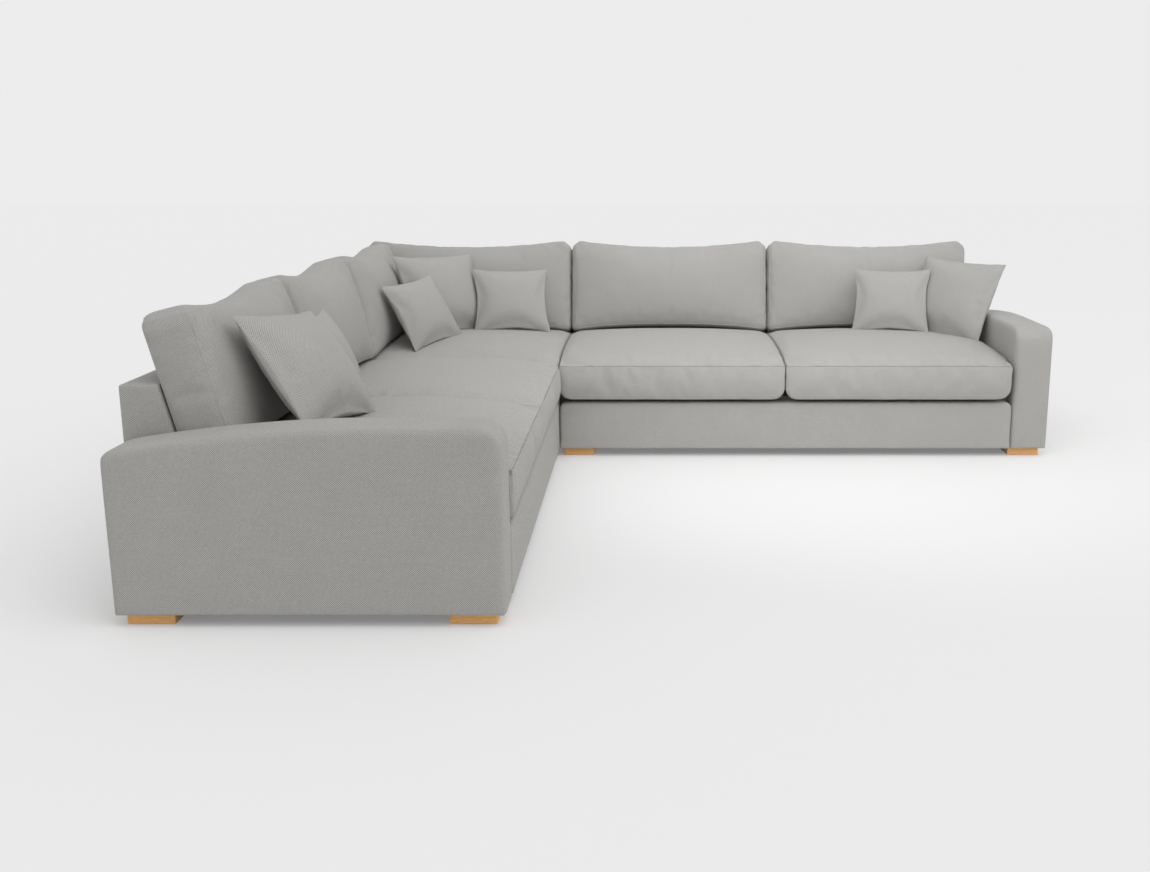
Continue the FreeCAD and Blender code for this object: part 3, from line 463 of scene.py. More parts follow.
def rounded(points: np.ndarray, low: np.ndarray, high: np.ndarray, radius: object) -> np.ndarray:
    """Points of a box's surface, moved in so that its edges and corners are round.

    Args:
        points: Points on the box.
        low: Its lowest corner.
        high: Its highest corner.
        radius: One radius, or one for each point.

    Returns:
        The moved points.
    """
    reach = np.broadcast_to(np.asarray(radius, float), (len(points),))[:, None]
    core = np.clip(points, low + reach, high - reach)
    out = points - core
    length = np.linalg.norm(out, axis=1, keepdims=True)
    return core + out * reach / np.maximum(length, 1e-9)


def ripple(places: np.ndarray, pitch: float, seed: int) -> np.ndarray:
    """Smooth random waves from -1 to 1 along a line, about a pitch apart."""
    knots = np.random.default_rng(seed).uniform(-1, 1, 512)
    at = places / pitch
    whole = np.floor(at).astype(int)
    part = at - whole
    blend = part * part * (3 - 2 * part)
    return knots[whole % 512] * (1 - blend) + knots[(whole + 1) % 512] * blend


def swell_noise(points: np.ndarray, pitch: float, seed: int) -> np.ndarray:
    """Gentle waves over a surface, from the product of ripples along three skew lines."""
    lines = np.array([[1.0, 0.35, 0.2], [-0.3, 1.0, 0.25], [0.2, -0.4, 1.0]])
    waves = [ripple(points @ line, pitch, seed + i) for i, line in enumerate(lines)]
    return (waves[0] + waves[1] + waves[2]) / 3


def read(rows: bpy.types.bpy_prop_collection, key: str, width: int = 3) -> np.ndarray:
    """One property of a mesh's rows, as many numbers for each row as its width."""
    values = np.empty(len(rows) * width)
    rows.foreach_get(key, values)
    return values.reshape(-1, width) if width > 1 else values


def set_coordinates(mesh: bpy.types.Mesh, places: np.ndarray) -> None:
    """Moves a mesh's vertices."""
    mesh.vertices.foreach_set("co", places.ravel())
    mesh.update()


def pushed_out(mesh: bpy.types.Mesh, out: np.ndarray) -> np.ndarray:
    """The places of a mesh's vertices, moved out along their normals."""
    return read(mesh.vertices, "co") + read(mesh.vertex_normals, "vector") * out[:, None]


def piece_from_grid(
    name: str, grid: GridBox, places: np.ndarray, seam: np.ndarray
) -> bpy.types.Object:
    """Makes an object from a gridded box whose points have been moved.

    Args:
        name: The piece's name.
        grid: The box.
        places: A place for each of its points.
        seam: For each point, the share of painted light on a sewn edge (positive for painted shade,
            negative for a painted highlight) and 0 off it.

    Returns:
        The object, with its cloth map, its seam mask of painted light and its places at rest.
    """
    mesh = bpy.data.meshes.new(name)
    mesh.from_pydata(places.tolist(), [], grid.quads.tolist())
    layer = mesh.uv_layers.new(name=CLOTH_MAP)
    layer.uv.foreach_set("vector", grid.uvs.astype(np.float32).ravel())
    mask = mesh.attributes.new(SEAM_PAINTED_LIGHT_MASK, "FLOAT", "POINT")
    mask.data.foreach_set("value", seam.astype(np.float32))
    rest = mesh.attributes.new(REST_PLACE, "FLOAT_VECTOR", "POINT")
    rest.data.foreach_set("vector", grid.points.astype(np.float32).ravel())
    mesh.polygons.foreach_set("use_smooth", np.ones(len(mesh.polygons), bool))
    piece = bpy.data.objects.new(name, mesh)
    bpy.context.scene.collection.objects.link(piece)
    return piece


def subdivided(piece: bpy.types.Object, levels: int) -> None:
    """Replaces a piece's mesh by its subdivision."""
    modifier = piece.modifiers.new("smooth", "SUBSURF")
    modifier.levels = levels
    graph = bpy.context.evaluated_depsgraph_get()
    mesh = bpy.data.meshes.new_from_object(piece.evaluated_get(graph))
    piece.modifiers.remove(modifier)
    piece.data = mesh
    mesh.polygons.foreach_set("use_smooth", np.ones(len(mesh.polygons), bool))


@dataclass
class Inflation:
    """Settings of the cloth simulation that fills the cushions."""

    pressure: float = 4.0
    slack: float = 0.02
    frames: int = 20
    tension: float = 15.0
    bending: float = 0.4

    def prepare(self, piece: bpy.types.Object, held: np.ndarray) -> None:
        """Gives a piece its cloth settings.

        Args:
            piece: The cushion.
            held: For each point, whether its seam or seat holds it still.
        """
        group = piece.vertex_groups.new(name="held")
        group.add(np.flatnonzero(held).tolist(), 1.0, "REPLACE")
        modifier = piece.modifiers.new("filling", "CLOTH")
        settings = modifier.settings
        settings.quality = 4
        settings.mass = 0.3
        settings.tension_stiffness = self.tension
        settings.compression_stiffness = self.tension
        settings.shear_stiffness = 5.0
        settings.bending_stiffness = self.bending
        settings.use_pressure = True
        settings.uniform_pressure_force = self.pressure
        settings.shrink_min = -self.slack
        settings.vertex_group_mass = group.name
        settings.pin_stiffness = 1.0
        settings.effector_weights.gravity = 0.0
        modifier.collision_settings.use_collision = False
        modifier.point_cache.frame_end = self.frames

    def run(self, pieces: Iterable[bpy.types.Object]) -> dict[str, np.ndarray]:
        """Steps the simulation of all pieces together.

        Returns:
            Each piece's simulated places by its name.
        """
        pieces = list(pieces)
        scene = bpy.context.scene
        for number in range(1, self.frames + 1):
            scene.frame_set(number)
        graph = bpy.context.evaluated_depsgraph_get()
        result = {p.name: read(p.evaluated_get(graph).data.vertices, "co") for p in pieces}
        for piece in pieces:
            piece.modifiers.clear()
            piece.vertex_groups.clear()
        scene.frame_set(1)
        return result


def capped(before: np.ndarray, after: np.ndarray, most: float) -> np.ndarray:
    """Places after a simulation, no further than a cap from where they were."""
    moved = after - before
    length = np.linalg.norm(moved, axis=1, keepdims=True)
    return before + moved * np.minimum(1.0, most / np.maximum(length, 1e-9))


@dataclass
class RakedLine:
    """The raked face of the sofa's backs, which the back cushions lean on."""

    rake: float = math.radians(14)
    top_thick: float = 0.105
    height: float = 0.633
    outer_x: float = field(default_factory=lambda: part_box("corner_back_cover")[0].x)
    outer_y: float = field(default_factory=lambda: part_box("corner_back_cover")[1].y)

    def run(self, height: np.ndarray | float) -> np.ndarray | float:
        """How far the raked face stands from the outer back at a height."""
        return self.top_thick + (self.height - height) * math.tan(self.rake)


RAKED = RakedLine()


@dataclass
class Puckers:
    """Small gathers beside a seam."""

    pitch: float
    depth: float
    reach: float
    middle_only: bool = False


@dataclass
class Cushion:
    """A sewn cushion in its own axes: x along its width, -y out of its front, +z up."""

    name: str
    facing: Facing
    step: float = 0.02
    cap: float = 0.022
    seed: int = 1
    seam: Seam = Seam.VALLEY
    seam_depth: float = 0.002
    # Share of painted light along the seam: positive paints a dark line of shade into a valley
    # seam, negative paints a highlight on a ridge seam.
    seam_painted_light_share: float = 1.0
    fill: float = 0.7
    levels: int = 1

    def place(self) -> Matrix:
        """The cushion's own axes in the frame's."""
        raise NotImplementedError

    def grid(self) -> GridBox:
        """The gridded box that the cushion is drawn from."""
        raise NotImplementedError

    def form(self, points: np.ndarray) -> np.ndarray:
        """Where the box's points lie on the cushion."""
        raise NotImplementedError

    def sewn(self, grid: GridBox) -> np.ndarray:
        """Which points lie on a sewn edge."""
        raise NotImplementedError

    def held(self, grid: GridBox) -> np.ndarray:
        """Which points the simulation leaves still."""
        return self.sewn(grid)

    def detail(self, rest: np.ndarray) -> np.ndarray:
        """How far each point of the finished surface stands out, in metres."""
        return 0.0012 * swell_noise(rest, 0.11, self.seed)

    def keep_in(self, places: np.ndarray, rest: np.ndarray) -> np.ndarray:
        """Places held clear of what the cushion rests on, given where they belong on the box."""
        return places

    def cut(self) -> bpy.types.Object:
        """Makes the cushion's coarse skin."""
        self.made = self.grid()
        self.before = self.form(self.made.points)
        # The seam line, scaled by its share of painted light (painted shade for a valley, painted
        # highlight for a ridge).
        sewn = self.sewn(self.made) * self.seam_painted_light_share
        self.piece = piece_from_grid(f"{self.name}_skin", self.made, self.before, sewn)
        return self.piece

    def sew(self, after: np.ndarray, cloth: bpy.types.Material) -> None:
        """Finishes the cushion from its simulated places and seats it in the frame."""
        places = self.keep_in(capped(self.before, after, self.cap), self.made.points)
        set_coordinates(self.piece.data, places)
        subdivided(self.piece, self.levels)
        mesh = self.piece.data
        rest = read(mesh.attributes[REST_PLACE].data, "vector")
        seam = read(mesh.attributes[SEAM_PAINTED_LIGHT_MASK].data, "value", 1)
        # Dividing by the share of painted light turns the mask back into the plain seam line for
        # the groove or ridge.
        out = self.detail(rest) + self.seam.value * self.seam_depth * seam / self.seam_painted_light_share
        places = self.keep_in(pushed_out(mesh, out), rest)
        matrix = np.array(self.place())
        set_coordinates(mesh, places @ matrix[:3, :3].T + matrix[:3, 3])
        mesh.materials.append(cloth)
        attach(self.piece, self.name)
        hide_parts(f"{self.name}_cover")
        log.info("cushion %s: %d faces", self.name, len(mesh.polygons))


@dataclass
class SeatCushion(Cushion):
    """A boxed seat cushion: flat below, round under its edges, crowned over its seam."""

    seam_height: float = 0.147
    rear_lift: float = 0.010
    end_drop: float = 0.032
    low_radius: float = 0.020
    top_radius: float = 0.006
    low_corner: float = 0.050
    front_bulge: float = 0.003
    cap: float = 0.012
    side_fall: float = 1.4
    end_fall: float = 2.5
    crown_fall: float = 2.2
    puckers: Puckers = field(default_factory=lambda: Puckers(0.085, 0.003, 0.07, True))

    def __post_init__(self) -> None:
        """Measures the cushion's room in the frame."""
        low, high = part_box(f"{self.name}_cover")
        size = high - low
        turned = self.facing is Facing.OPEN_RIGHT
        self.width, self.depth = (size.y, size.x) if turned else (size.x, size.y)
        self.crown = size.z
        self.centre = Vector(((low.x + high.x) / 2, (low.y + high.y) / 2, low.z))

    def place(self) -> Matrix:
        """The cushion's own axes in the frame's."""
        turn = Matrix.Rotation(math.radians(self.facing.value), 4, "Z")
        return Matrix.Translation(self.centre) @ turn

    def grid(self) -> GridBox:
        """Lines close together beside every seam and round edge."""
        close = (0.004, 0.012, 0.026, 0.042)
        xs = grid_lines(-self.width / 2, self.width / 2, self.step, close)
        ys = grid_lines(-self.depth / 2, self.depth / 2, self.step, close)
        zs = grid_lines(0.0, self.seam_height, self.step, (0.004, 0.012, 0.026))
        return GridBox(xs, ys, zs)

    def form(self, points: np.ndarray) -> np.ndarray:
        """The cushion's crown, seams and round lower edges."""
        low = np.array([-self.width / 2, -self.depth / 2, 0.0])
        high = np.array([self.width / 2, self.depth / 2, self.seam_height])
        height = points[:, 2] / self.seam_height
        growth = self.low_radius - self.top_radius
        radius = self.top_radius + growth * (1 - height) ** self.side_fall
        made = rounded(points, low, high, radius)
        x, z = made[:, 0].copy(), made[:, 2].copy()
        for way in (-1, 1):
            round_corner(x, z, (way * self.width / 2, 0.0), self.low_corner, (way, -1))
        made[:, 0], made[:, 2] = x, z
        u, v = 2 * made[:, 0] / self.width, 2 * made[:, 1] / self.depth
        u, v = np.clip(u, -1, 1), np.clip(v, -1, 1)
        edge = self.seam_height + self.rear_lift * (v + 1) / 2
        crest = self.crown - self.end_drop * np.abs(u) ** self.end_fall
        top = edge + (crest - edge) * (1 - np.abs(v) ** self.crown_fall)
        made[:, 2] *= top / self.seam_height
        bulge = self.front_bulge * np.sin(np.pi * height) * (1 - u**4)
        made[:, 1] -= bulge * (v < -0.9)
        return made

    def sewn(self, grid: GridBox) -> np.ndarray:
        """The edge round the top panel."""
        around = grid.on(Face.LEFT) | grid.on(Face.RIGHT) | grid.on(Face.FRONT) | grid.on(Face.REAR)
        return grid.on(Face.TOP) & around

    def held(self, grid: GridBox) -> np.ndarray:
        """The seam and the flat underside."""
        return self.sewn(grid) | grid.on(Face.BOTTOM)

    def keep_in(self, places: np.ndarray, rest: np.ndarray) -> np.ndarray:
        """Places above the platform and beside the neighbours."""
        places[:, 2] = np.maximum(places[:, 2], 0.0)
        places[:, 0] = np.clip(places[:, 0], -self.width / 2 - 0.001, self.width / 2 + 0.001)
        places[:, 1] = np.minimum(places[:, 1], self.depth / 2)
        return places

    def detail(self, rest: np.ndarray) -> np.ndarray:
        """Gathers on both sides of the front seam, and a slight unevenness all over."""
        style = self.puckers
        from_seam = np.where(
            rest[:, 2] > self.seam_height - 1e-4,
            rest[:, 1] + self.depth / 2,
            self.seam_height - rest[:, 2],
        )
        u = 2 * rest[:, 0] / self.width
        front = (rest[:, 1] < 0).astype(float)
        waves = ripple(rest[:, 0] + 3.0, style.pitch, self.seed + 7)
        fade = np.exp(-from_seam / style.reach) * (1 - np.exp(-from_seam / 0.006))
        if style.middle_only:
            below = rest[:, 2] < self.seam_height - 1e-4
            fade = fade * np.clip(1.15 - np.abs(u + 0.1) * 1.5, 0.15, 1) * (0.3 + 0.7 * below)
        return super().detail(rest) + style.depth * waves * fade * front


@dataclass
class BackCushion(Cushion):
    """A boxed back cushion that leans on the rake, with raised top corners and a full front."""

    base: float = 0.405
    top: float = 0.824
    dip: float = 0.036
    edge_thick: float = 0.150
    crown: float = 0.058
    cap: float = 0.003
    corner: float = 0.034
    low_fall: float = 0.65
    heel: float = 0.006
    low_rise: float = -0.020
    arch: float = 0.027
    radius: float = 0.03
    step: float = 0.019
    seam: Seam = Seam.RIDGE
    seam_depth: float = 0.0012
    # Negative: a painted highlight along the ridge seams.
    seam_painted_light_share: float = -0.25
    low_end_raked: bool = False
    high_end_raked: bool = False

    def __post_init__(self) -> None:
        """Measures the cushion's span in the frame."""
        low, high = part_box(f"{self.name}_cover")
        turned = self.facing is Facing.OPEN_RIGHT
        self.start, self.end = (low.y, high.y) if turned else (low.x, high.x)
        self.tall = (self.top - self.base) / math.cos(RAKED.rake)
        self.width = self.end - self.start

    def place(self) -> Matrix:
        """The cushion's own axes in the frame's, on the line where the rake meets the seat."""
        foot = RAKED.run(self.base) + 0.0003
        turned = self.facing is Facing.OPEN_RIGHT
        middle = (self.start + self.end) / 2
        if turned:
            at = Vector((RAKED.outer_x + foot, middle, self.base))
        else:
            at = Vector((middle, RAKED.outer_y - foot, self.base))
        turn = Matrix.Rotation(math.radians(self.facing.value), 4, "Z")
        return Matrix.Translation(at) @ turn @ Matrix.Rotation(-RAKED.rake, 4, "X")

    def grid(self) -> GridBox:
        """Lines close together beside the seams and round edges."""
        close = (0.004, 0.012, 0.022, 0.034)
        xs = grid_lines(-self.width / 2, self.width / 2, self.step, close)
        ys = grid_lines(-self.edge_thick, 0.0, self.step, (0.004, 0.012, 0.026))
        zs = grid_lines(self.low_rise, self.tall, self.step, close)
        return GridBox(xs, ys, zs)

    def form(self, points: np.ndarray) -> np.ndarray:
        """The cushion's full front, dipped top and arched bottom."""
        low = np.array([-self.width / 2, -self.edge_thick, self.low_rise])
        high = np.array([self.width / 2, 0.0, self.tall])
        made = rounded(points, low, high, self.radius)
        u = np.clip(2 * made[:, 0] / self.width, -1, 1)
        middle = (self.tall + self.low_rise) / 2
        half = (self.tall - self.low_rise) / 2
        w = np.clip((made[:, 2] - middle) / half, -1, 1)
        ear = self.corner * np.clip((np.abs(u) - 0.9) / 0.1, 0, 1) ** 2
        high_line = self.tall - self.dip * (1 - u**2) - ear
        low_line = self.low_rise + self.arch * (1 - np.abs(u) ** 2.5)
        share = (made[:, 2] - self.low_rise) / (self.tall - self.low_rise)
        made[:, 2] = low_line + (high_line - low_line) * share
        out = -made[:, 1] / self.edge_thick
        fall = np.where(w < 0, self.low_fall, 1.0) * np.abs(w) ** 2.2
        made[:, 1] -= self.crown * (1 - np.abs(u) ** 2.2) * (1 - fall) * out
        made[:, 2] += self.heel * out * (1 - share) ** 3
        return self.trimmed(made)

    def trimmed(self, made: np.ndarray) -> np.ndarray:
        """Draws an end in, from the top down, along the rake of what stands beside it."""
        height = self.base + made[:, 2] * math.cos(RAKED.rake)
        spare = np.maximum(self.top - height, 0.0) * math.tan(RAKED.rake)
        share = made[:, 0] / self.width + 0.5
        if self.low_end_raked:
            made[:, 0] += spare * (1 - share)
        if self.high_end_raked:
            made[:, 0] -= spare * share
        return made

    def sewn(self, grid: GridBox) -> np.ndarray:
        """The edges round the front and the rear panel."""
        around = grid.on(Face.LEFT) | grid.on(Face.RIGHT) | grid.on(Face.TOP) | grid.on(Face.BOTTOM)
        return (grid.on(Face.FRONT) | grid.on(Face.REAR)) & around

    def held(self, grid: GridBox) -> np.ndarray:
        """The seams and the flat rear."""
        return self.sewn(grid) | grid.on(Face.REAR) | grid.on(Face.BOTTOM)

    def keep_in(self, places: np.ndarray, rest: np.ndarray) -> np.ndarray:
        """Places in front of the rake."""
        places[:, 1] = np.minimum(places[:, 1], 0.0)
        return places

    def detail(self, rest: np.ndarray) -> np.ndarray:
        """A fold in from each top corner over a slight unevenness."""
        out = 0.0008 * swell_noise(rest, 0.22, self.seed)
        from_end = self.width / 2 - np.abs(rest[:, 0])
        from_top = self.tall - rest[:, 2]
        crease = np.exp(-(((from_end - from_top * 0.6 - 0.02) / 0.012) ** 2))
        return out - 0.004 * crease * np.exp(-from_top / 0.06) * (from_end < 0.12)


@dataclass
class ScatterCushion(Cushion):
    """A knife-edged cushion of two panels with pointed corners and drawn-in sides."""

    side: float = 0.352
    thick: float = 0.112
    turn: float = 0.0
    lean: float = 0.0
    roll: float = 0.0
    squat: float = 0.9
    waist: float = 0.020
    hem: float = 0.010
    step: float = 0.016
    cap: float = 0.016
    fill: float = 0.55
    seam: Seam = Seam.RIDGE
    seam_depth: float = 0.0008
    # Negative: a painted highlight along the ridge of the hem seam.
    seam_painted_light_share: float = -0.3
    slimmest: float = 0.002

    def place(self) -> Matrix:
        """The cushion's own axes in the frame's, about its middle."""
        low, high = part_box(f"{self.name}_cover")
        turn = Matrix.Rotation(math.radians(self.turn), 4, "Z")
        lean = Matrix.Rotation(math.radians(-self.lean), 4, "X")
        roll = Matrix.Rotation(math.radians(self.roll), 4, "Y")
        return Matrix.Translation((low + high) / 2) @ turn @ lean @ roll

    def grid(self) -> GridBox:
        """Two panels, joined by a narrow hem."""
        half, tall = self.side / 2, self.side * self.squat / 2
        xs = grid_lines(-half, half, self.step, (0.004, 0.012))
        zs = grid_lines(-tall, tall, self.step, (0.004, 0.012))
        return GridBox(xs, np.array([-self.hem / 2, 0.0, self.hem / 2]), zs)

    def form(self, points: np.ndarray) -> np.ndarray:
        """Full in the middle, thin at the edges, drawn in between the corners."""
        half, tall = self.side / 2, self.side * self.squat / 2
        u, w = points[:, 0] / half, points[:, 2] / tall
        side = points[:, 1] / (self.hem / 2)
        full = np.sqrt(np.clip((1 - u**2) * (1 - w**2), 0, 1)) ** 1.15
        out = self.hem * 0.15 + (self.thick - self.hem) / 2 * full
        ear = 1 - 0.02 * (u * w) ** 8
        return np.stack([
            u * (half - self.waist * (1 - w**2)) * ear,
            side * out,
            w * (tall - self.waist * (1 - u**2)) * ear,
        ], axis=1)

    def keep_in(self, places: np.ndarray, rest: np.ndarray) -> np.ndarray:
        """Places outside the filling and inside the outline of the panels."""
        half, tall = self.side / 2, self.side * self.squat / 2
        u, w = np.clip(places[:, 0] / half, -1, 1), np.clip(places[:, 2] / tall, -1, 1)
        filled = (self.hem + (self.thick - self.hem) * (1 - u**2)) / 2 * (1 - w**2)
        side = np.sign(rest[:, 1])
        least = np.maximum(filled - self.slimmest, 0) * np.abs(side)
        places[:, 1] = side * np.maximum(side * places[:, 1], least)
        return places

    def sewn(self, grid: GridBox) -> np.ndarray:
        """The middle line of the hem."""
        return np.isclose(grid.points[:, 1], 0.0)

    def detail(self, rest: np.ndarray) -> np.ndarray:
        """Gathers that run in from the edges, strongest near the corners."""
        half, tall = self.side / 2, self.side * self.squat / 2
        from_x, from_z = half - np.abs(rest[:, 0]), tall - np.abs(rest[:, 2])
        gathers = ripple(rest[:, 0] + 2.0, 0.035, self.seed) * np.exp(-from_z / 0.035)
        gathers += ripple(rest[:, 2] + 5.0, 0.035, self.seed + 3) * np.exp(-from_x / 0.035)
        return 0.0015 * gathers + 0.0015 * swell_noise(rest, 0.1, self.seed)


@dataclass
class Upholstery:
    """A padded cover over timber that is drawn from a gridded box and rides with the frame."""

    node: str
    cloth: bpy.types.Material
    unevenness: float = 0.0008
    swell_pitch: float = 0.19
    seed: int = 3
    step: float = 0.025

    def finish(self, grid: GridBox, places: np.ndarray) -> None:
        """Makes the cover's piece.

        Args:
            grid: The box that the cover is drawn from.
            places: Where its points lie in the frame.
        """
        piece = piece_from_grid(f"{self.node}_skin", grid, places, np.zeros(len(places)))
        subdivided(piece, 1)
        mesh = piece.data
        waves = swell_noise(read(mesh.vertices, "co"), self.swell_pitch, self.seed)
        set_coordinates(mesh, pushed_out(mesh, self.unevenness * waves))
        mesh.materials.append(self.cloth)
        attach(piece, "root")
        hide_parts(self.node)
        log.info("cover %s: %d faces", self.node, len(mesh.polygons))


def round_corner(
    a: np.ndarray, b: np.ndarray, at: tuple[float, float], radius: float, way: tuple[int, int]
) -> None:
    """Bends one corner of a flat outline, and what lies inside it, to an arc.

    Args:
        a: First coordinates, changed in place.
        b: Second coordinates, changed in place.
        at: The corner.
        radius: Its radius.
        way: The sign of each axis that points out of the outline at the corner.
    """
    p = (a - (at[0] - way[0] * radius)) * way[0] / radius
    q = (b - (at[1] - way[1] * radius)) * way[1] / radius
    inside = (p > 0) & (q > 0)
    s, t = np.clip(p[inside], 0, 1), np.clip(q[inside], 0, 1)
    a[inside] = at[0] + way[0] * radius * (s * np.sqrt(1 - t**2 / 2) - 1)
    b[inside] = at[1] + way[1] * radius * (t * np.sqrt(1 - s**2 / 2) - 1)


@dataclass
class Arm(Upholstery):
    """A padded arm with a rounded front corner and a top that falls towards the back."""

    facing: Facing = Facing.OPEN_FRONT
    back_height: float = 0.485
    front_radius: float = 0.068
    back_radius: float = 0.03
    edge: float = 0.026
    foot_edge: float = 0.008
    crest_share: float = 0.66

    def make(self) -> None:
        """Builds the arm in its own axes, x across and y from back to front, then places it."""
        low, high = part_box(self.node)
        turned = self.facing is Facing.OPEN_RIGHT
        size = high - low
        thick, deep = (size.y, size.x) if turned else (size.x, size.y)
        foot, top = low.z, high.z
        close = (0.004, 0.011, 0.022)
        grid = GridBox(
            grid_lines(0.0, thick, self.step, close),
            grid_lines(0.0, deep, self.step, close),
            grid_lines(foot, top, self.step, close),
        )
        below = grid.low - np.array([0.0, 0.0, self.edge])
        x, y, z = rounded(grid.points, below, grid.high, self.edge).T.copy()
        for way, thick_end, deep_end in ((-1, 0.0, 0.0), (1, thick, deep)):
            round_corner(x, z, (thick_end, foot), self.foot_edge, (way, -1))
            round_corner(y, z, (deep_end, foot), self.foot_edge, (way, -1))
        round_corner(y, z, (deep, top), self.front_radius, (1, 1))
        fall = np.clip(1 - y / (self.crest_share * deep), 0, 1) ** 1.9
        z = foot + (z - foot) * (1 - fall * (top - self.back_height) / (top - foot))
        round_corner(y, z, (0.0, self.back_height), self.back_radius, (-1, 1))
        if turned:
            places = np.stack([low.x + y, low.y + x, z], axis=1)
        else:
            places = np.stack([low.x + x, high.y - y, z], axis=1)
        grid.flip()
        self.finish(grid, places)


@dataclass
class FrontPanel(Upholstery):
    """The padded front below the seats, round at its top corners."""

    facing: Facing = Facing.OPEN_FRONT
    edge: float = 0.014
    corner: float = 0.03

    def make(self) -> None:
        """Builds the panel along its run and places it."""
        low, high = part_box(self.node)
        turned = self.facing is Facing.OPEN_RIGHT
        start, end = (low.y, high.y) if turned else (low.x, high.x)
        thick = high.x - low.x if turned else high.y - low.y
        close = (0.003, 0.008, 0.016, 0.03)
        grid = GridBox(
            grid_lines(start, end, self.step, close),
            grid_lines(0.0, thick, self.step, close[:3]),
            grid_lines(low.z, high.z, self.step, close),
        )
        radius = np.where(grid.points[:, 2] < low.z + 0.02, 0.006, self.edge)
        square_end = Vector((self.edge if turned else 0.0, 0.0, 0.0))
        made = rounded(grid.points, grid.low, grid.high + np.array(square_end), radius)
        x, z = made[:, 0].copy(), made[:, 2].copy()
        if not turned:
            for place, way in ((start, -1), (end, 1)):
                round_corner(x, z, (place, high.z), self.corner, (way, 1))
        y = made[:, 1]
        if turned:
            places = np.stack([high.x - y, x, z], axis=1)
        else:
            places = np.stack([x, low.y + y, z], axis=1)
        self.finish(grid, places)


@dataclass
class BackPanel(Upholstery):
    """A raked padded back with its outside panel down to the feet, mitred on the corner unit."""

    left_run: bool = False
    rear_run: bool = False
    top_radius: float = 0.014
    skirt: float = 0.02

    def depth_at(self, height: np.ndarray, seat: float) -> np.ndarray:
        """Thickness of the back at a height: raked above the seat, thin below it."""
        return np.where(height > seat, RAKED.run(height), self.skirt)

    def make(self) -> None:
        """Builds the run or both runs of the back."""
        low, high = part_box(self.node)
        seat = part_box("left_platform")[1].z + 0.001
        ends = {
            (True, False): (low.y, high.y),
            (False, True): (low.x, high.x),
            (True, True): (low.y - high.y, high.x - low.x),
        }[(self.left_run, self.rear_run)]
        close = (0.003, 0.008, 0.016)
        along = grid_lines(*ends, self.step, close)
        if self.left_run and self.rear_run:
            half = grid_lines(0.0, ends[1], self.step, close)
            along = np.concatenate([-half[::-1], half[1:]])
        lower = grid_lines(low.z, seat, self.step, close[:2])
        upper = grid_lines(seat + 0.0005, high.z, self.step, close)
        grid = GridBox(
            along, grid_lines(0.0, 0.1, self.step, close), np.concatenate([lower, upper])
        )
        made = rounded(grid.points, grid.low, grid.high, 0.006)
        s, offset, z = made[:, 0], made[:, 1] / 0.1, made[:, 2]
        out = offset * self.depth_at(z, seat)
        if self.left_run and self.rear_run:
            reach = ends[1]
            run = out + np.abs(s) / reach * (reach - out)
            x = np.where(s < 0, out, run)
            y = np.where(s < 0, run, out)
            round_corner(x, y, (0.0, 0.0), self.top_radius, (-1, -1))
            places = np.stack([low.x + x, high.y - y, z], axis=1)
        elif self.left_run:
            places = np.stack([low.x + out, s, z], axis=1)
        else:
            places = np.stack([s, high.y - out, z], axis=1)
        grid.flip()
        self.finish(grid, places)


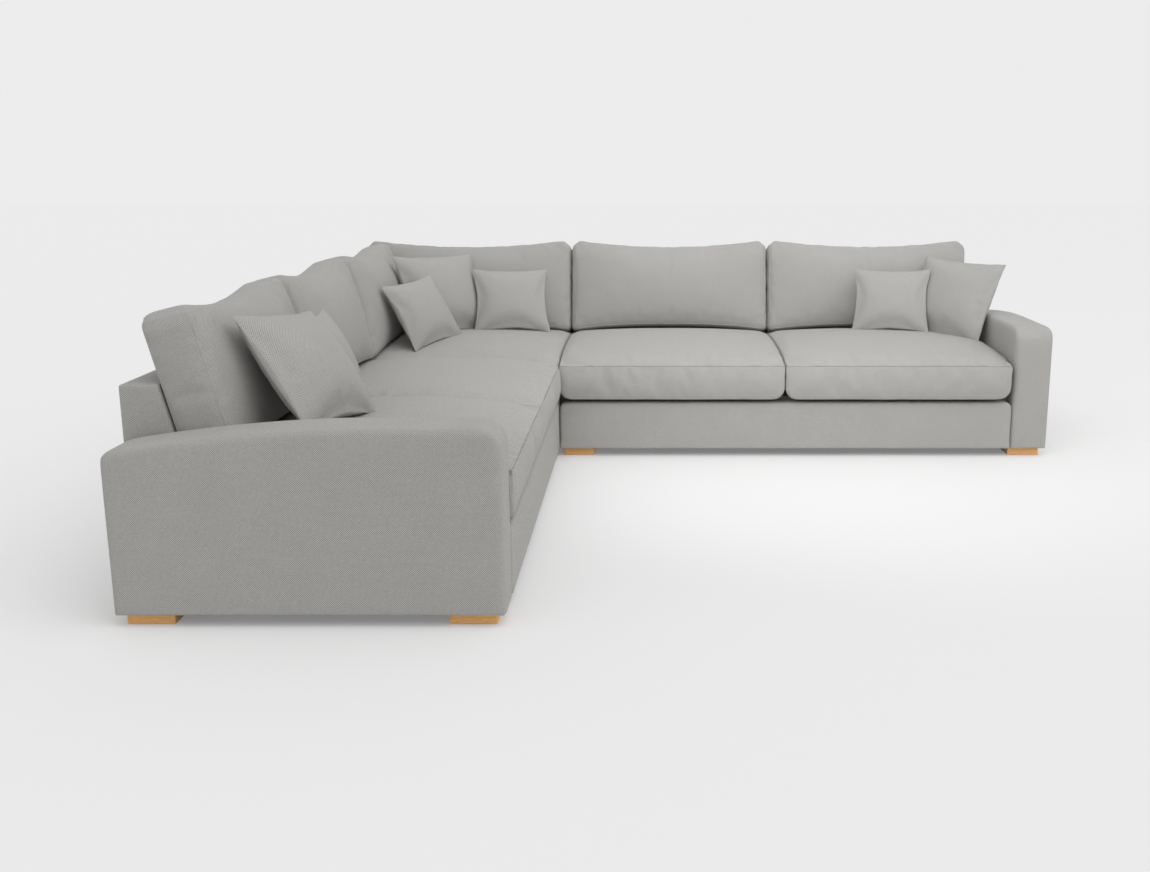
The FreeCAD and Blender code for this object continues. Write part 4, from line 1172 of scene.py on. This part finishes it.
@dataclass
class Studio:
    """Pale floor, even light and the photograph's camera."""

    floor_half: float = 30.0
    floor_colour: float = 0.76
    floor_glow: float = 0.22
    sky_light: float = 0.74
    sky_seen: float = 0.84
    sun_strength: float = 1.35
    sun_angle: float = 60.0
    sun_aim: tuple[float, float, float] = (-0.6, 0.38, -1.0)
    key_power: float = 11.0
    key_size: float = 1.8
    key_spread: float = 100.0
    key_place: tuple[float, float, float] = (0.05, -1.2, 1.75)
    key_target: tuple[float, float, float] = (0.95, 1.2, 0.75)
    lens: float = 35.68
    shift: tuple[float, float] = (-0.0661, -0.0379)
    camera_place: tuple[float, float, float] = (-0.1160, -4.2964, 1.2271)
    camera_down: float = 11.49

    def make(self) -> None:
        """Sets the whole studio up."""
        self.floor()
        self.sky()
        self.lamps()
        self.camera()
        bpy.context.scene.view_settings.view_transform = "Standard"
        log.info("studio ready")

    def floor(self) -> None:
        """A wide pale floor at the feet."""
        mesh = bpy.data.meshes.new("floor")
        h = self.floor_half
        mesh.from_pydata([(-h, -h, 0), (h, -h, 0), (h, h, 0), (-h, h, 0)], [], [(0, 1, 2, 3)])
        floor = bpy.data.objects.new("floor", mesh)
        bpy.context.scene.collection.objects.link(floor)
        shader = Shader("pale_floor")
        grey = (self.floor_colour,) * 3 + (1.0,)
        shader.finish(Base_Color=grey, Roughness=0.9, Specular_IOR_Level=0.0)
        rays = shader.add("ShaderNodeLightPath", {}).socket.node.outputs
        kinds = ("Camera", "Glossy", "Transmission")
        seen = sum(Sock(shader, rays[f"Is {kind} Ray"]) for kind in kinds)
        glow = shader.add("ShaderNodeEmission", {}, (self.sky_seen,) * 3 + (1.0,), 1.0)
        lit = Sock(shader, shader.surface.outputs[0])
        mixed = shader.add("ShaderNodeMixShader", {}, self.floor_glow * seen.clamp(), lit, glow)
        out = next(n for n in shader.tree.nodes if n.type == "OUTPUT_MATERIAL")
        shader.feed(out.inputs["Surface"], mixed)
        mesh.materials.append(shader.material)

    def sky(self) -> None:
        """Even light from all round, seen by the camera as a pale ground."""
        world = bpy.data.worlds.new("pale_room")
        world.use_nodes = True
        bpy.context.scene.world = world
        tree = world.node_tree
        light = next(n for n in tree.nodes if n.type == "BACKGROUND")
        light.inputs["Color"].default_value = (1.0, 1.0, 1.0, 1.0)
        light.inputs["Strength"].default_value = self.sky_light
        seen = tree.nodes.new("ShaderNodeBackground")
        seen.inputs["Color"].default_value = (self.sky_seen,) * 3 + (1.0,)
        path = tree.nodes.new("ShaderNodeLightPath")
        mixed = tree.nodes.new("ShaderNodeMixShader")
        out = next(n for n in tree.nodes if n.type == "OUTPUT_WORLD")
        tree.links.new(path.outputs["Is Camera Ray"], mixed.inputs["Fac"])
        tree.links.new(light.outputs["Background"], mixed.inputs[1])
        tree.links.new(seen.outputs["Background"], mixed.inputs[2])
        tree.links.new(mixed.outputs["Shader"], out.inputs["Surface"])

    def lamps(self) -> None:
        """A very soft sun from the upper right and a large panel over the open side."""
        sun = self.lamp("soft_sun", "SUN", self.sun_strength, self.sun_aim)
        sun.data.angle = math.radians(self.sun_angle)
        aim = Vector(self.key_target) - Vector(self.key_place)
        key = self.lamp("soft_panel", "AREA", self.key_power, aim)
        key.data.size = self.key_size
        key.data.spread = math.radians(self.key_spread)
        key.location = self.key_place
        key.visible_camera = False

    def lamp(self, name: str, kind: str, energy: float, aim: Sequence[float]) -> bpy.types.Object:
        """A lamp of one kind that points along a direction."""
        light = bpy.data.lights.new(name, kind)
        light.energy = energy
        lamp = bpy.data.objects.new(name, light)
        lamp.rotation_euler = Vector(aim).to_track_quat("-Z", "Y").to_euler()
        bpy.context.scene.collection.objects.link(lamp)
        return lamp

    def camera(self) -> None:
        """The photograph's camera."""
        lens = bpy.data.cameras.new("camera")
        lens.lens = self.lens
        lens.sensor_width = 36.0
        lens.shift_x, lens.shift_y = self.shift
        camera = bpy.data.objects.new("camera", lens)
        camera.location = self.camera_place
        camera.rotation_euler = (math.radians(90 - self.camera_down), 0.0, 0.0)
        bpy.context.scene.collection.objects.link(camera)
        bpy.context.scene.camera = camera


@dataclass
class Finishes:
    """Every finish of the sofa, made once."""

    cloth: bpy.types.Material = field(init=False)
    by_slot: dict[str, bpy.types.Material] = field(init=False)

    def __post_init__(self) -> None:
        """Builds the materials."""
        finishes = {
            FABRIC_SLOT: WovenFabric(
                "light_grey_basket_weave", (0.55, 0.542, 0.518), (0.148, 0.145, 0.138)
            ),
            "oak": OiledOak("honey_oak", (0.84, 0.47, 0.175), (0.62, 0.30, 0.09)),
            "frame_timber": SawnTimber("frame_beech", (0.68, 0.50, 0.31), (0.50, 0.33, 0.18)),
            "platform_cloth": FeltedCloth(
                "platform_felt", (0.24, 0.24, 0.23), (0.14, 0.14, 0.13), 0.002, 0.0006
            ),
            "dust_cloth": FeltedCloth("bottom_cloth", (0.03,) * 3, (0.012,) * 3, 0.0015, 0.0003),
            "foam": FeltedCloth(
                "seat_foam", (0.88, 0.83, 0.66), (0.80, 0.73, 0.54), 0.0012, 0.0005
            ),
            "fibre": FeltedCloth(
                "cushion_fibre", (0.88, 0.88, 0.86), (0.76, 0.76, 0.74), 0.004, 0.002
            ),
            "steel": ZincSteel("zinc_steel", (0.62, 0.63, 0.64), (0.45, 0.46, 0.47)),
        }
        self.by_slot = {slot: finish.make() for slot, finish in finishes.items()}
        self.cloth = self.by_slot[FABRIC_SLOT]

    def dress_frame(self) -> None:
        """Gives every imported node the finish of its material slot."""
        slots = {s["node"]: s["material_slot"] for s in frame["record"]["subparts"]}
        for name, node in frame["nodes"].items():
            node.data.materials.clear()
            node.data.materials.append(self.by_slot[slots[name]])
        log.info("dressed %d packed nodes", len(frame["nodes"]))


FINE = Puckers(0.015, 0.006, 0.05)
BROAD = Puckers(0.045, 0.005, 0.08, True)


def seat_cushions() -> list[Cushion]:
    """The five seat cushions."""
    right, front = Facing.OPEN_RIGHT, Facing.OPEN_FRONT
    return [
        SeatCushion("left_outer_seat", right, seed=11, puckers=FINE, low_corner=0.022, levels=2),
        SeatCushion("left_inner_seat", right, seed=12, puckers=FINE, low_corner=0.022, levels=2),
        SeatCushion("corner_seat", front, seed=13, puckers=BROAD),
        SeatCushion("right_inner_seat", front, seed=14, puckers=BROAD),
        SeatCushion("right_outer_seat", front, seed=15, puckers=BROAD),
    ]


def back_cushions() -> list[Cushion]:
    """The six back cushions."""
    right, front = Facing.OPEN_RIGHT, Facing.OPEN_FRONT
    return [
        BackCushion("left_outer_back", right, seed=21),
        BackCushion("left_inner_back", right, seed=22),
        BackCushion("left_corner_back", right, seed=23, high_end_raked=True),
        BackCushion("rear_corner_back", front, seed=24, low_end_raked=True),
        BackCushion("rear_inner_back", front, seed=25),
        BackCushion("rear_outer_back", front, seed=26),
    ]


def scatter_cushions() -> list[Cushion]:
    """The three larger and four smaller scatter cushions."""
    facing = Facing.OPEN_FRONT
    large = {"side": 0.432, "thick": 0.150}
    turns = {
        "left_small_scatter": (90, 24, 0, {}),
        "left_large_scatter": (81, 36, 7, large),
        "corner_large_scatter": (46, 25, 2, large),
        "corner_left_scatter": (62, 30, -4, {}),
        "corner_right_scatter": (12, 29, 1, {}),
        "right_large_scatter": (-47, 28, 2, large),
        "right_small_scatter": (-14, 29, -1, {}),
    }
    return [
        ScatterCushion(name, facing, seed=31 + 5 * i, turn=turn, lean=lean, roll=roll, **sizes)
        for i, (name, (turn, lean, roll, sizes)) in enumerate(turns.items())
    ]


def make_cushions(cloth: bpy.types.Material, inflation: Inflation) -> None:
    """Cuts, fills and sews every loose cushion."""
    cushions = seat_cushions() + back_cushions() + scatter_cushions()
    for cushion in cushions:
        piece = cushion.cut()
        inflation.prepare(piece, cushion.held(cushion.made))
    filled = inflation.run(c.piece for c in cushions)
    for cushion in cushions:
        cushion.sew(filled[cushion.piece.name], cloth)


def make_covers(cloth: bpy.types.Material) -> None:
    """Builds the padded covers over the timber."""
    right, front = Facing.OPEN_RIGHT, Facing.OPEN_FRONT
    Arm("left_arm_cover", cloth, facing=right, seed=41).make()
    Arm("right_arm_cover", cloth, facing=front, seed=43).make()
    FrontPanel("left_front_panel", cloth, facing=right, seed=44).make()
    FrontPanel("right_front_panel", cloth, facing=front, seed=45).make()
    BackPanel("left_back_cover", cloth, left_run=True, seed=46).make()
    BackPanel("corner_back_cover", cloth, left_run=True, rear_run=True, seed=47).make()
    BackPanel("right_back_cover", cloth, rear_run=True, seed=48).make()


def main() -> None:
    """Builds every piece in order."""
    finishes = Finishes()
    finishes.dress_frame()
    make_covers(finishes.cloth)
    make_cushions(finishes.cloth, Inflation())
    Studio().make()


if __name__ == "__main__":
    main()
